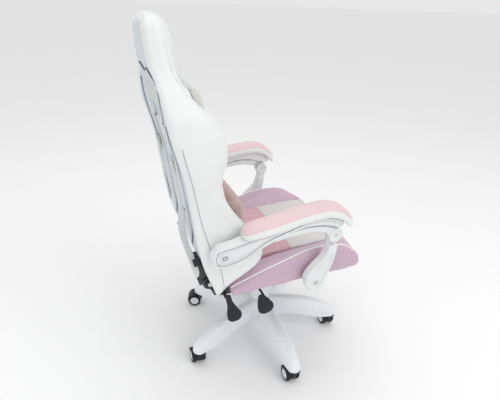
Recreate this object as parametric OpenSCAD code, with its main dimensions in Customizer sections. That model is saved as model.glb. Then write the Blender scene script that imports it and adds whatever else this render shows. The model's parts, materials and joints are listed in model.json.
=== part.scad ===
// Gaming chair: star base on casters, gas lift, rocking seat, reclining back and linkage armrests.
// Origin on the floor under the column, +Z up, the seat faces -Y, the sitter's right hand is -X.

/* [Base and casters] */
// Radius of the circle of caster stems
base_r = 310; // [290:1:330]
// Widest part of a leg of the star base
leg_w = 61; // [56:1:66]
// Diameter of a caster wheel
wheel_d = 56; // [50:1:56]
// Width of one of the two wheels of a caster
wheel_w = 17; // [14:1:19]

/* [Column] */
// Outer diameter of the lowest sleeve of the column cover
sleeve_d = 78; // [76:1:84]
// Wall of each sleeve
sleeve_wall = 2; // [1.5:0.1:2.2]

/* [Seat] */
// Width of the seat over its side bolsters
seat_w = 540; // [530:1:560]
// Width of the flat middle of the seat
seat_panel_w = 336; // [316:1:340]
// Backward slope of the seat in degrees
seat_rake = 2.4; // [2:0.1:2.8]

/* [Backrest] */
// Width of one side wing of the back
wing_w = 40; // [34:1:42]
// Thickness of the rear shell of the back
shell_t = 50; // [44:1:54]
// Height of the opening for a harness belt
slot_h = 140; // [110:1:144]
// Width of the opening for a harness belt
slot_w = 76; // [60:1:80]

/* [Armrests] */
// Width of an armrest pad
pad_w = 75; // [64:1:80]
// Thickness of the front post of an armrest
post_t = 32; // [28:1:34]
// Radius of the pivot bolts of the armrest
arm_bolt_r = 6; // [5:0.5:7]

/* [Hidden] */
$fn = 48;
fit = 0.05;                               // radial clearance of a running fit
gap = 0.3;                                // clearance between soft parts

// heights that follow from the casters
hood_top = 60;                            // top of a caster's hood
leg_under = hood_top + 2;                 // underside of a leg at its tip
stem_r = 5.5;
axle_r = 4;
trail = 22;                               // distance of a caster's axle behind its stem
caster_angles = [182.66, 254.66, 326.66, 38.66, 110.66];   // 1 to 5, the near right one first
caster_turns = [0, 0, 0, 70, 0];          // how each caster has swivelled at rest

// column
tube_r = 25;
bush_z = [228, 300];
cylinder_r = 14;
rod_r = 5;

// seat mechanism
plate_z = 400;
tilt_pin = [-60, 386];                    // y and z of the rocking pin
lever_pin = [-68, 70, 368];               // pivot of the height lever
housing_half = 60;

// seat
half = seat_w / 2;
panel_half = seat_panel_w / 2;
rail_x = [182, 208];                      // inner and outer face of a side rail
frame_z = 406;
pan_z = 428;
seat_z = 431;                             // underside of the cushions

// backrest
recline_axis = [276, 452];                // y and z of the recline pivot
wing_out = half - 4;
wing_in = wing_out - wing_w;
shell_half = wing_in - 1;
slot_x = 62;                              // centre of a harness opening from the middle
slot_z = 1022;

// armrests
arm_pivot = [260, 609];
elbow = [-108, 621];
post_pivot = [-57, 450];
arm_in = half + 17;                       // inner face of the armrest plastics
arm_out = arm_in + 38;
elbow_split = arm_in + 18.5;              // plane where the post's end meets the arm's end
elbow_play = 3.2;                         // clearance of the opened pivot of the linkage

// ---- helpers -------------------------------------------------------------------------------

// side outline given in y and z, made solid between two values of x
module side_plate(x0, x1) {
    translate([x0, 0, 0]) rotate([90, 0, 90]) linear_extrude(x1 - x0) children();
}

// front outline given in x and z, made solid between two values of y
module front_plate(y0, y1) {
    translate([0, y1, 0]) rotate([90, 0, 0]) linear_extrude(y1 - y0) children();
}

// round bar along X between two values of x, at a y and z
module cross_bar(x0, x1, at, r) {
    translate([x0, at[0], at[1]]) rotate([0, 90, 0]) cylinder(h = x1 - x0, r = r);
}

// the child on the right-hand side (-X) and its mirror image on the left
module both_sides() {
    children();
    mirror([1, 0, 0]) children();
}

// seat parts are drawn level and then sloped about the mechanism plate
module raked() {
    translate([0, 0, plate_z]) rotate([-seat_rake, 0, 0]) translate([0, 0, -plate_z]) children();
}

// upright slot outline with round ends, centred on the origin
module slot_outline(w, h) {
    translate([-w / 2, -h / 2 + w / 2]) square([w, h - w]);
    for (s = [-1, 1]) translate([0, s * (h - w) / 2]) circle(d = w);
}

// ---- star base and casters -----------------------------------------------------------------

module leg_side() {
    polygon([[20, 91], [60, 91], [134, 91], [base_r - 46, leg_under], [base_r + 21, leg_under],
             [base_r + 20, leg_under + 20], [base_r + 4, leg_under + 47], [base_r - 42, 131],
             [base_r - 92, 151], [140, 166], [61, 174], [20, 177]]);
}

module leg_plan(w) {
    polygon([[20, -w / 2 + 3], [190, -w / 2], [base_r, -w / 2 + 8], [base_r, w / 2 - 8],
             [190, w / 2], [20, w / 2 - 3]]);
    translate([base_r, 0]) circle(r = w / 2 - 8);
}

module leg() {
    // shoulders of the leg, then the raised ridge along its middle
    intersection() {
        translate([0, 0, -10]) rotate([90, 0, 0]) linear_extrude(leg_w, center = true) leg_side();
        linear_extrude(200) leg_plan(leg_w);
    }
    intersection() {
        rotate([90, 0, 0]) linear_extrude(leg_w, center = true) leg_side();
        linear_extrude(200) leg_plan(leg_w - 18);
    }
}

module leg_pocket() {
    // shallow recess of the underside, ending before the tip where the caster stem goes in
    rotate([90, 0, 0]) linear_extrude(leg_w - 18, center = true)
        polygon([[75, 80], [75, 97], [134, 97], [base_r - 55, leg_under + 10],
                 [base_r - 55, leg_under - 10]]);
}

module star_base() {
    color("ghostwhite") difference() {
        union() {
            intersection() {
                for (a = caster_angles) rotate(a) leg();
                translate([0, 0, leg_under]) cylinder(h = 200, r = base_r + 40, $fn = 96);
            }
            rotate_extrude($fn = 72)
                polygon([[0, 84], [50, 84], [56, 92], [56, 168], [50, 177], [0, 177]]);
        }
        for (a = caster_angles) rotate(a) {
            leg_pocket();
            translate([base_r, 0, leg_under - 1]) cylinder(h = 34, r = stem_r + fit);
        }
        translate([0, 0, 80]) cylinder(h = 100, r = tube_r + 0.02, $fn = 72);
    }
}

module at_caster(n) {
    rotate(caster_angles[n - 1]) translate([base_r, 0, 0])
        rotate(-caster_angles[n - 1] + caster_turns[n - 1]) children();
}

wheel_gap = 20;                           // room between the two wheels for the hood's web
wheel_in = wheel_gap / 2 + 0.4;
hub_z = wheel_d / 2;
stem_z = 34;                              // foot of the stem inside the hood

module caster_hood(n) {
    color("dimgray") at_caster(n) difference() {
        union() {
            // web between the wheels, hub for the stem and a curved guard over the wheels
            rotate([90, 0, 0]) linear_extrude(wheel_gap, center = true) {
                translate([trail, hub_z]) circle(r = hub_z - 5);
                translate([-9, hub_z - 6]) square([20, hood_top - hub_z + 6]);
            }
            translate([0, 0, 20]) cylinder(h = hood_top - 20, r = 10);
            intersection() {
                translate([trail, 0, hub_z]) rotate([90, 0, 0]) difference() {
                    cylinder(h = wheel_gap + 2 * wheel_w, r = hub_z + 3.6, center = true);
                    cylinder(h = 100, r = hub_z + 0.8, center = true);
                }
                translate([-20, -40, hub_z + 8]) cube([60, 80, hood_top - hub_z - 8]);
            }
        }
        translate([0, 0, stem_z]) cylinder(h = 60, r = stem_r + 0.02);
        translate([trail, 0, hub_z]) rotate([90, 0, 0])
            cylinder(h = 60, r = axle_r + 0.02, center = true);
    }
}

module caster_pins(n) {
    color("silver") at_caster(n) {
        translate([0, 0, stem_z]) cylinder(h = leg_under + 28 - stem_z, r = stem_r);
        translate([trail, 0, hub_z]) rotate([90, 0, 0])
            cylinder(h = wheel_gap + 2 * wheel_w - 4, r = axle_r, center = true);
    }
}

module caster_wheels(n) {
    color("black") at_caster(n) translate([trail, 0, hub_z])
        for (s = [-1, 1]) rotate([s * 90, 0, 0]) translate([0, 0, wheel_in]) difference() {
            rotate_extrude($fn = 48) polygon([
                [axle_r + fit, 0], [hub_z - 2, 0], [hub_z, 2], [hub_z, wheel_w - 5],
                [hub_z - 3, wheel_w - 1], [hub_z - 7, wheel_w], [hub_z - 8, wheel_w - 2],
                [9, wheel_w - 2], [8, wheel_w], [axle_r + fit, wheel_w]]);
            for (a = [0:60:300]) rotate(a) translate([hub_z / 2, 0, wheel_w - 6])
                cylinder(h = 10, r = hub_z * 0.14, $fn = 16);
        }
}

module caster_1_hood() { caster_hood(1); }
module caster_1_pins() { caster_pins(1); }
module caster_1_wheels() { caster_wheels(1); }
module caster_2_hood() { caster_hood(2); }
module caster_2_pins() { caster_pins(2); }
module caster_2_wheels() { caster_wheels(2); }
module caster_3_hood() { caster_hood(3); }
module caster_3_pins() { caster_pins(3); }
module caster_3_wheels() { caster_wheels(3); }
module caster_4_hood() { caster_hood(4); }
module caster_4_pins() { caster_pins(4); }
module caster_4_wheels() { caster_wheels(4); }
module caster_5_hood() { caster_hood(5); }
module caster_5_pins() { caster_pins(5); }
module caster_5_wheels() { caster_wheels(5); }

// ---- gas lift and its covers ----------------------------------------------------------------

module lift_tube() {
    color("black") difference() {
        translate([0, 0, 85]) cylinder(h = bush_z[1] - 85, r = tube_r, $fn = 72);
        translate([0, 0, 88]) cylinder(h = 300, r = tube_r - 2.5, $fn = 72);
        translate([0, 0, 80]) cylinder(h = 20, r = rod_r + fit);
    }
}

module guide_bush() {
    color("gainsboro") difference() {
        translate([0, 0, bush_z[0]])
            cylinder(h = bush_z[1] - bush_z[0], r = tube_r - 2.52, $fn = 72);
        translate([0, 0, bush_z[0] - 1])
            cylinder(h = bush_z[1] - bush_z[0] + 2, r = cylinder_r + fit, $fn = 72);
    }
}

// telescopic sleeve number k, counted upwards from the lowest
module sleeve(k, z0, z1) {
    outer = sleeve_d / 2 - k * (sleeve_wall + 0.5);
    translate([0, 0, z0]) difference() {
        cylinder(h = z1 - z0, r = outer, $fn = 72);
        translate([0, 0, -1]) cylinder(h = z1 - z0 + 2, r = outer - sleeve_wall, $fn = 72);
    }
}

module cover_lower() { color("white") sleeve(0, 177.2, 248); }
module cover_middle() { color("white") sleeve(1, 216, 298); }

module cover_upper() {
    color("white") sleeve(2, 268, 351.5);
}

module lift_rod() {
    color("silver") difference() {
        union() {
            translate([0, 0, 79]) cylinder(h = 122, r = rod_r);
            translate([0, 0, 80]) cylinder(h = 3, r = rod_r + 4);
        }
    }
}

module thrust_bearing() {
    color("silver") difference() {
        translate([0, 0, 88.05]) cylinder(h = 6, r = 17);
        translate([0, 0, 80]) cylinder(h = 20, r = rod_r + 0.02);
    }
}

module lift_cylinder() {
    color("dimgray") difference() {
        translate([0, 0, 146]) cylinder(h = 232, r = cylinder_r, $fn = 72);
        translate([0, 0, 140]) cylinder(h = 160, r = rod_r + fit);
    }
}

// ---- rocking mechanism -----------------------------------------------------------------------

module mechanism_housing() {
    color("dimgray") difference() {
        union() {
            side_plate(-housing_half, housing_half)
                polygon([[-95, 352], [-95, 376], [-80, 395], [-46, 395], [78, 370], [78, 352]]);
            // lugs for the height lever
            for (y = [-14, 14]) translate([-73, lever_pin[1] + y - 3, 358]) cube([15, 6, 18]);
            // guide of the tension spring
            translate([0, -72, 322]) cylinder(h = 34, r = 20);
        }
        translate([0, 0, 340]) cylinder(h = 38.2, r = cylinder_r + 0.02, $fn = 72);
        cross_bar(-100, 100, tilt_pin, 6.02);
        translate([lever_pin[0], 40, lever_pin[2]]) rotate([-90, 0, 0]) cylinder(h = 60, r = 3.02);
        translate([0, -72, 320]) cylinder(h = 44, r = 15);
    }
}

module mechanism_pins() {
    color("silver") {
        cross_bar(-70, 70, tilt_pin, 6);
        translate([lever_pin[0], lever_pin[1] - 19, lever_pin[2]]) rotate([-90, 0, 0])
            cylinder(h = 38, r = 3);
    }
}

spring_turns = 5;

module tilt_spring() {
    // drawn as closed rings of the wound wire round the knob's screw
    color("silver") translate([0, -72, 325]) for (k = [0:spring_turns - 1])
        translate([0, 0, 3 + k * 7.4]) rotate_extrude() translate([11, 0]) circle(r = 2.4, $fn = 16);
}

module tension_knob() {
    color("black") {
        translate([0, -72, 296]) cylinder(h = 25.5, r = 24);
        for (a = [0:45:315]) rotate(0) translate([0, -72, 296]) rotate(a)
            translate([24, 0, 0]) cylinder(h = 25.5, r = 4, $fn = 24);
        translate([0, -72, 321]) cylinder(h = 40, r = 6);
    }
}

module height_lever() {
    color("black") difference() {
        union() {
            translate([lever_pin[0], lever_pin[1] - 10.5, lever_pin[2]]) rotate([-90, 0, 0])
                cylinder(h = 21, r = 7);
            cross_bar(-247, lever_pin[0] - 7, [lever_pin[1] + 18, lever_pin[2] - 2], 4);
            translate([lever_pin[0] - 16, lever_pin[1] - 10, lever_pin[2] - 6]) cube([9, 32, 8]);
            translate([lever_pin[0] - 12, lever_pin[1] - 10, lever_pin[2] - 6]) cube([9, 20, 8]);
            side_plate(-256, -245) {
                polygon([[100, 391], [117, 392], [119, 365], [119, 338], [106, 312], [88, 305],
                         [63, 316], [56, 334], [74, 364]]);
            }
        }
        translate([lever_pin[0], 40, lever_pin[2]]) rotate([-90, 0, 0])
            cylinder(h = 60, r = 3 + fit);
    }
}

module mechanism_plate() {
    color("dimgray") difference() {
        union() {
            raked() translate([-94, -104, plate_z]) cube([188, 240, 4]);
            both_sides() translate([-housing_half - 6, -84, 376]) cube([4, 46, 27]);
        }
        cross_bar(-100, 100, tilt_pin, 6 + fit);
        raked() for (x = [-78, 78], y = [-85, 110])
            translate([x, y, plate_z - 10]) cylinder(h = 30, r = 4.2);
    }
}

module seat_bolts() {
    color("silver") raked() for (x = [-78, 78], y = [-85, 110]) translate([x, y, 0]) {
        translate([0, 0, plate_z - 5.2]) cylinder(h = 5, r = 6.5, $fn = 6);
        translate([0, 0, plate_z - 1]) cylinder(h = 20, r = 4);
    }
}

// ---- seat ------------------------------------------------------------------------------------

module seat_frame() {
    color("dimgray") difference() {
        raked() {
            both_sides() translate([-rail_x[1], -215, frame_z]) cube([rail_x[1] - rail_x[0], 428, 20]);
            for (y = [-215, -97, 98, 193])
                translate([-rail_x[1], y, frame_z]) cube([2 * rail_x[1], 24, 20]);
        }
        raked() for (x = [-78, 78], y = [-85, 110])
            translate([x, y, frame_z - 10]) cylinder(h = 25, r = 4.2);
    }
}

module seat_pan() {
    color("dimgray") raked() translate([-panel_half + 4, -246, pan_z])
        cube([seat_panel_w - 8, 430, 5.5]);
}

module seat_cushion() {
    color("pink") raked() side_plate(-panel_half, panel_half)
        polygon([[-264, seat_z + 12], [-268, 470], [-262, 490], [-246, 503], [-200, 507],
                 [60, 500], [150, 498], [184, 492], [190, 480], [190, seat_z + 5],
                 [-250, seat_z + 5]]);
}

// bolster of the right-hand side, drawn level
module bolster() {
    color("thistle") difference() {
        raked() hull() {
            side_plate(-half, -half + 8)
                polygon([[212, seat_z], [-244, seat_z], [-262, 445], [-252, 480], [-180, 508],
                         [-28, 508], [113, 474], [216, 448]]);
            side_plate(-half + 16, -half + 24)
                polygon([[216, seat_z], [-248, seat_z], [-270, 444], [-262, 470], [-242, 490],
                         [-195, 526], [-150, 536], [-100, 539], [-44, 534], [26, 514],
                         [100, 494], [219, 455]]);
            side_plate(-panel_half - 3, -panel_half - 2)
                polygon([[216, seat_z + 2], [-250, seat_z + 2], [-266, 450], [-262, 490],
                         [-246, 508], [30, 498], [216, 466]]);
        }
        cross_bar(-half - 1, -rail_x[1], post_pivot, arm_bolt_r + 0.4);
    }
}

module seat_bolster_right() { bolster(); }
module seat_bolster_left() { mirror([1, 0, 0]) bolster(); }

module recliner_plate(eye) {
    // the eye is the round end about the pivot; the plate's end follows its size
    difference() {
        union() {
            raked() side_plate(-rail_x[1] - 6, -rail_x[1] - 0.05)
                polygon([[40, 404], [40, seat_z - 2], [224, seat_z - 2], [250, 444 + eye],
                         [262 + eye / 2, 444 + eye], [264 + eye / 2, 446], [250 + eye / 2, 412],
                         [240, 404]]);
            side_plate(-rail_x[1] - 6, -rail_x[1] - 0.05) translate(recline_axis) circle(r = eye);
        }
        cross_bar(-half, 0, recline_axis, 8.02);
    }
}

module recliner_plates() {
    color("black") {
        recliner_plate(22);
        mirror([1, 0, 0]) recliner_plate(12.5);
    }
}

module recliner_pins() {
    color("silver") both_sides() cross_bar(-rail_x[1] - 14.5, -rail_x[1] + 12, recline_axis, 8);
}

module post_bolts() {
    color("silver") both_sides() {
        cross_bar(-arm_in - post_t - 1.5, -rail_x[1] - 0.3, post_pivot, arm_bolt_r);
        cross_bar(-arm_in + gap, -half - gap, post_pivot, arm_bolt_r + 5);
        cross_bar(-rail_x[1] - 6.3, -rail_x[1] - 0.3, post_pivot, arm_bolt_r);
    }
}

module recline_lever() {
    x0 = -rail_x[1] - 13.5;
    color("black") difference() {
        union() {
            side_plate(x0, x0 + 7) {
                translate(recline_axis) circle(r = 15);
                polygon([[272, 437], [286, 441], [252, 418], [232, 416], [228, 428], [262, 462]]);
            }
            cross_bar(-half + 6, x0 + 2, [236, 423], 6);
            side_plate(-half + 2, -half + 13)
                polygon([[242, 427], [236, 430], [228, 420], [212, 392], [182, 352], [180, 330],
                         [190, 316], [216, 314], [229, 326], [232, 352], [230, 385]]);
        }
        cross_bar(-half, 0, recline_axis, 8 + fit);
    }
}

// ---- backrest --------------------------------------------------------------------------------

// rear face of the back from the bottom up, in y and z
rear_line = [[266, 434], [292, 505], [322, 620], [336, 720], [353, 824], [382, 937], [394, 1000],
             [402, 1060], [418, 1150], [420, 1200], [408, 1232], [392, 1244]];

// front outline: half widths of the back and the heights they belong to
back_outline = [[shell_half - 25, 436], [shell_half, 470], [shell_half, 985], [shell_half - 12, 1040],
                [186, 1068], [155, 1100], [136, 1150], [130, 1190], [116, 1222], [92, 1244]];

module back_outline_shape() {
    polygon(concat(back_outline,
                   [for (k = [len(back_outline) - 1:-1:0]) [-back_outline[k][0], back_outline[k][1]]]));
}

module side_slots(grow) {
    for (s = [-1, 1]) front_plate(200, 460)
        translate([s * slot_x, slot_z]) slot_outline(slot_w + grow, slot_h + grow);
}

module back_frame() {
    color("dimgray") {
        both_sides() frame_upright(10);
        for (at = [[291, 632], [343, 880]]) cross_bar(-182, 182, at, 8);
    }
}

module frame_upright(r) {
    translate([-189, 258, 466]) rotate([-11.9, 0, 0]) cylinder(h = 500, r = r);
}

module frame_room() {
    both_sides() frame_upright(10.3);
    both_sides() translate([-189, 258, 466]) rotate([168.1, 0, 0]) cylinder(h = 60, r = 10.3);
    for (at = [[291, 632], [343, 880]]) cross_bar(-182, 182, at, 8.3);
}

module back_bracket(eye) {
    // the smaller eye goes with a narrower plate that stays inside the shell's rear line
    lean = eye - 12;
    difference() {
        side_plate(-206, -200) {
            translate(recline_axis) circle(r = eye);
            polygon([[258, 446], [254, 470], [270 + lean, 548], [301 + lean * 2.6, 548],
                     [288 + lean * 3.7, 500], [280 + lean * 1.7, 442]]);
        }
        cross_bar(-half, 0, recline_axis, 8 + fit);
    }
}

module back_brackets() {
    color("black") {
        back_bracket(20);
        mirror([1, 0, 0]) back_bracket(12);
    }
}

module recliner_cover() {
    color("black") side_plate(-178, -150)
        polygon([[270, 424], [268, 440], [296, 540], [326, 540], [324, 500], [300, 424]]);
}

module back_shell() {
    color("white") difference() {
        intersection() {
            side_plate(-shell_half, shell_half)
                polygon(concat(rear_line, [for (k = [len(rear_line) - 1:-1:0])
                    [rear_line[k][0] - shell_t, rear_line[k][1]]]));
            front_plate(150, 460) back_outline_shape();
        }
        side_slots(0);
        frame_room();
        both_sides() translate([-shell_half - 10, 150, 400])
            cube([shell_half + 10 - 149, 300, 152]);
        both_sides() cross_bar(-half, -189, arm_pivot, arm_bolt_r + 0.4);
    }
}

module back_cushion() {
    color("lightpink") difference() {
        intersection() {
            side_plate(-shell_half, shell_half)
                polygon([[206, 478], [198, 500], [196, 600], [206, 700], [226, 800], [262, 900],
                         [288, 960], [316, 1080], [322, 1098],
                         [408 - shell_t, 1098], [401.7 - shell_t, 1060], [393.7 - shell_t, 1000],
                         [381.7 - shell_t, 937], [352.7 - shell_t, 824], [335.7 - shell_t, 720],
                         [321.7 - shell_t, 620], [291.7 - shell_t, 505], [281 - shell_t, 478]]);
            front_plate(150, 460) back_outline_shape();
        }
        side_slots(0);
        both_sides() translate([-shell_half - 10, 236, 400]) cube([shell_half + 10 - 149, 300, 152]);
        both_sides() cross_bar(-half, -189, arm_pivot, arm_bolt_r + 0.4);
        frame_room();
    }
}

module head_cushion() {
    color("white") intersection() {
        side_plate(-140, 140)
            polygon([[322, 1099], [306, 1106], [312, 1150], [322, 1200], [338, 1226],
                     [398 - shell_t, 1236], [408.6 - shell_t, 1229], [419.7 - shell_t, 1200],
                     [417.7 - shell_t, 1150], [408.7 - shell_t, 1099]]);
        front_plate(150, 460) back_outline_shape();
        // crowned in plan
        linear_extrude(1400)
            polygon([[-140, 420], [-140, 346], [-115, 334], [-70, 318], [-25, 306], [25, 306],
                     [70, 318], [115, 334], [140, 346], [140, 420]]);
    }
}

module wing() {
    color("white") difference() {
        side_plate(-wing_out, -wing_in)
            polygon([[255, 427], [233, 466], [181, 496], [146, 520], [126, 540], [120, 566],
                     [123, 592], [160, 648], [198, 695], [213, 716], [245, 772], [254, 809],
                     [249, 843], [240, 893], [242, 935], [257, 973], [290, 1008], [330, 1022],
                     [394, 1000], [382, 937], [353, 824], [336, 720], [322, 620], [292, 505]]);
        cross_bar(-half, -189, arm_pivot, arm_bolt_r + 0.4);
    }
}

module back_wing_right() { wing(); }
module back_wing_left() { mirror([1, 0, 0]) wing(); }

module slot_trims() {
    color("silver") difference() {
        intersection() {
            side_slots(-0.4);
            side_plate(-200, 200)
                polygon([[286, 948], [320, 1096], [408, 1096], [388, 948]]);
        }
        side_slots(-8);
    }
}

// pillow with a thin rim; sweep sets the rim back from the middle
module pillow(size, at, rim, sweep, lean) {
    translate(at) rotate([lean, 0, 0]) hull()
        for (x = [-1, 1], z = [-1, 1]) {
            translate([x * (size[0] / 2 - rim), sweep + rim, z * (size[2] / 2 - rim)])
                rotate([90, 0, 0]) cylinder(r = rim, h = 2 * rim, $fn = 24);
            translate([x * size[0] / 5, size[1] / 2, z * size[2] / 6])
                rotate([90, 0, 0]) cylinder(r = rim, h = size[1], $fn = 24);
        }
}

module head_pillow() { color("whitesmoke") pillow([250, 50, 112], [0, 264, 1006], 14, 5, -14); }
module lumbar_pillow() { color("rosybrown") pillow([330, 84, 180], [0, 150, 628], 16, 8, -5); }

strap_x = 120;
strap_w = 25;

// elastic band lying on the rear face, a little way off it
module rear_band(x0, x1, z0, z1, off, t) {
    intersection() {
        side_plate(x0, x1) polygon(concat(
            [for (p = rear_line) [p[0] + off + t, p[1]]],
            [for (k = [len(rear_line) - 1:-1:0]) [rear_line[k][0] + off, rear_line[k][1]]]));
        translate([-400, 0, z0]) cube([800, 800, z1 - z0]);
    }
}

module elastic_straps() {
    color("white") {
        both_sides() rear_band(-strap_x - strap_w / 2, -strap_x + strap_w / 2, 560, 940, 3, 2);
        // band of the head pillow, through both openings and across the rear
        rear_band(-slot_x - 30, slot_x + 30, 988, 1052, 3, 2);
        both_sides() translate([-slot_x - 30, 297, 988]) cube([2, 103, 60]);
    }
}

module strap_buckles() {
    color("whitesmoke") both_sides() difference() {
        rear_band(-strap_x - 19, -strap_x + 19, 812, 852, 5.5, 4);
        translate([-strap_x - strap_w / 2 - 1, 300, 818]) cube([strap_w + 2, 100, 10]);
        translate([-strap_x - strap_w / 2 - 1, 300, 836]) cube([strap_w + 2, 100, 10]);
    }
}

module arm_bolts() {
    color("silver") both_sides() {
        cross_bar(-arm_in - 34.5, -200, arm_pivot, arm_bolt_r);
        cross_bar(-arm_in + gap, -wing_out - gap, arm_pivot, arm_bolt_r + 6);
    }
}

// ---- armrests --------------------------------------------------------------------------------

module arm_beam() {
    polygon([[236, 645], [196, 662], [115, 670], [9, 692], [-60, 698], [-104, 687], [-134, 664],
             [-124, 650], [-62, 667], [-4, 671], [72, 653], [140, 626], [193, 596], [242, 576]]);
}

module arm_branch() {
    polygon([[90, 650], [60, 652], [-4, 665], [-62, 661], [-100, 645], [-92, 628], [-63, 640],
             [-15, 648], [63, 640], [110, 626]]);
    translate(elbow) circle(r = 24.5);
}

module arm() {
    color("white") difference() {
        union() {
            side_plate(-arm_out, -arm_in) arm_beam();
            side_plate(-arm_in - 33, -arm_in) translate(arm_pivot) circle(r = 37);
            side_plate(-arm_in - 30, -arm_in - 4) difference() {
                arm_branch();
                translate(elbow) circle(r = 38);
            }
            side_plate(-arm_in - 30, -elbow_split) arm_branch();
            cross_bar(-elbow_split - 1, -arm_in - 2, elbow, 5);
        }
        cross_bar(-arm_out - 1, -arm_in + 1, arm_pivot, arm_bolt_r + fit);
        cross_bar(-arm_in - 40, -arm_in - 28, arm_pivot, 12);
    }
}

module arm_right() { arm(); }
module arm_left() { mirror([1, 0, 0]) arm(); }

module pad() {
    mid = -(arm_in + arm_out) / 2;
    color("mistyrose") side_plate(mid - pad_w / 2, mid + pad_w / 2)
        polygon([[207, 663], [206, 680], [190, 696], [97, 718], [-11, 737], [-55, 740], [-90, 732],
                 [-135, 708], [-160, 680], [-164, 662], [-150, 652],
                 [-134.4, 664.6], [-104.3, 687.5], [-60, 698.5], [9, 692.5], [115, 670.5],
                 [196, 662.5]]);
}

module arm_pad_right() { pad(); }
module arm_pad_left() { mirror([1, 0, 0]) pad(); }

module post_side() {
    polygon([[-88, 590], [-86, 561], [-73, 538], [-48, 515], [-28, 494], [-17, 468], [-20, 446],
             [-34, 420], [-61, 403], [-84, 428], [-98, 471], [-113, 517], [-121, 560], [-123, 592]]);
}

module post() {
    color("white") difference() {
        union() {
            side_plate(-arm_in - post_t, -arm_in) difference() {
                post_side();
                translate(elbow) circle(r = 38);
            }
            side_plate(-elbow_split + gap, -arm_in - 3) {
                post_side();
                translate(elbow) circle(r = 21);
            }
        }
        cross_bar(-arm_out, -arm_in + 1, elbow, 5 + elbow_play);
        cross_bar(-arm_out, -arm_in + 1, post_pivot, arm_bolt_r + fit);
    }
}

module post_right() { post(); }
module post_left() { mirror([1, 0, 0]) post(); }

// ---- nodes -----------------------------------------------------------------------------------

star_base();
lift_tube();
guide_bush();
cover_lower();
lift_rod();
thrust_bearing();
lift_cylinder();
cover_upper();
cover_middle();
mechanism_housing();
mechanism_pins();
tilt_spring();
tension_knob();
height_lever();
mechanism_plate();
seat_bolts();
seat_frame();
seat_pan();
seat_cushion();
seat_bolster_right();
seat_bolster_left();
recliner_plates();
recliner_pins();
post_bolts();
recline_lever();
back_frame();
back_brackets();
recliner_cover();
back_shell();
back_cushion();
head_cushion();
back_wing_right();
back_wing_left();
slot_trims();
head_pillow();
lumbar_pillow();
elastic_straps();
strap_buckles();
arm_bolts();
arm_right();
arm_pad_right();
arm_left();
arm_pad_left();
post_right();
post_left();
caster_1_hood();
caster_1_pins();
caster_1_wheels();
caster_2_hood();
caster_2_pins();
caster_2_wheels();
caster_3_hood();
caster_3_pins();
caster_3_wheels();
caster_4_hood();
caster_4_pins();
caster_4_wheels();
caster_5_hood();
caster_5_pins();
caster_5_wheels();
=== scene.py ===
"""Finished look of a gaming chair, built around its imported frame.

The frame gives the sizes, the places and the moving bodies. Each operator builds one piece, or one
group of like pieces, lays it on its body and gives it a material made of nodes.
"""

import json
import math

import bmesh
import bpy
import numpy as np
from bpy.props import FloatProperty, FloatVectorProperty, IntProperty, PointerProperty
from mathutils import Matrix, Vector
from mathutils.bvhtree import BVHTree


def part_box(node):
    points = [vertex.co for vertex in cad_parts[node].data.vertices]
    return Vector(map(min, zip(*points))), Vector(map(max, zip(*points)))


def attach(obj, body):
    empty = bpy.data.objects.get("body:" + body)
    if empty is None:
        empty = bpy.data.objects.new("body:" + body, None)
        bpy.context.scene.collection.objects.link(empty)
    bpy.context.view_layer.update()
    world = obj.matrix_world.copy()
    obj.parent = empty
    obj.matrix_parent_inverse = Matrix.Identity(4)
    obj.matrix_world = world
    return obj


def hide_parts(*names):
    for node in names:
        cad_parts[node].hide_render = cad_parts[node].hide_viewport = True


bl_info = {
    "name": "Gaming Chair Finish",
    "version": (1, 0, 0),
    "blender": (4, 5, 0),
    "location": "View3D > Sidebar > Chair",
    "description": "Upholstery, mouldings, materials and studio of a gaming chair",
    "category": "Object",
}

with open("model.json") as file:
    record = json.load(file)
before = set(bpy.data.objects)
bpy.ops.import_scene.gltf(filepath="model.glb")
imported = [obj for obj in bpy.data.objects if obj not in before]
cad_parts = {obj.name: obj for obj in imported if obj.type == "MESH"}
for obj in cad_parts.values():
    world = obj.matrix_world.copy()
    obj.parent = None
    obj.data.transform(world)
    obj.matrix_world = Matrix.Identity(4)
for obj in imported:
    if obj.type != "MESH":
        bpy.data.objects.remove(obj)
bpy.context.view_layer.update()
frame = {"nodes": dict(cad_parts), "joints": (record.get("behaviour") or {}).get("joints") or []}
JOINTS = {joint["name"]: joint for joint in frame["joints"]}
SIDES = {"right": -1, "left": 1}
CASTERS = range(1, 6)


# ---- sizes and colours a user would change -----------------------------------------------------


def colour(name, text, value):
    """A colour property with its default in linear light."""
    return FloatVectorProperty(
        name=name, description=text, subtype="COLOR", size=3, min=0, max=1, default=value
    )


def length(name, text, value):
    """A length property in metres."""
    return FloatProperty(name=name, description=text, default=value, min=0, unit="LENGTH")


class CoverSettings(bpy.types.PropertyGroup):
    """Upholstery of the seat, the back and the pillows"""

    white: colour("White leather", "Cover of the back and the wings", (0.80, 0.82, 0.815))
    lilac: colour("Lilac leather", "Cover of the seat bolsters", (0.56, 0.40, 0.50))
    pink: colour("Pink leather", "Rear and front panels of the seat", (0.66, 0.40, 0.46))
    blush: colour("Blush leather", "Top of the armrest pads", (0.76, 0.575, 0.60))
    # painted shade: the rear colour is the white leather made darker and bluer, for the shade and
    # sky reflection on the rear panel
    rear: colour("Rear leather", "Sunken panel of the rear", (0.62, 0.665, 0.72))
    grey: colour("Pale grey leather", "Middle panel of the seat", (0.66, 0.645, 0.63))
    piping_white: colour("Piping", "Cord sewn into the main seams", (0.86, 0.86, 0.85))
    head: colour("Head pillow", "Cover of the head pillow", (0.64, 0.645, 0.61))
    lumbar: colour("Lumbar pillow", "Knitted cover of the lumbar pillow", (0.50, 0.35, 0.33))
    piping_r: length("Piping radius", "Radius of the cord in the seams", 0.0026)
    stitch: length("Stitch pitch", "Distance from one stitch to the next", 0.007)


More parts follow.
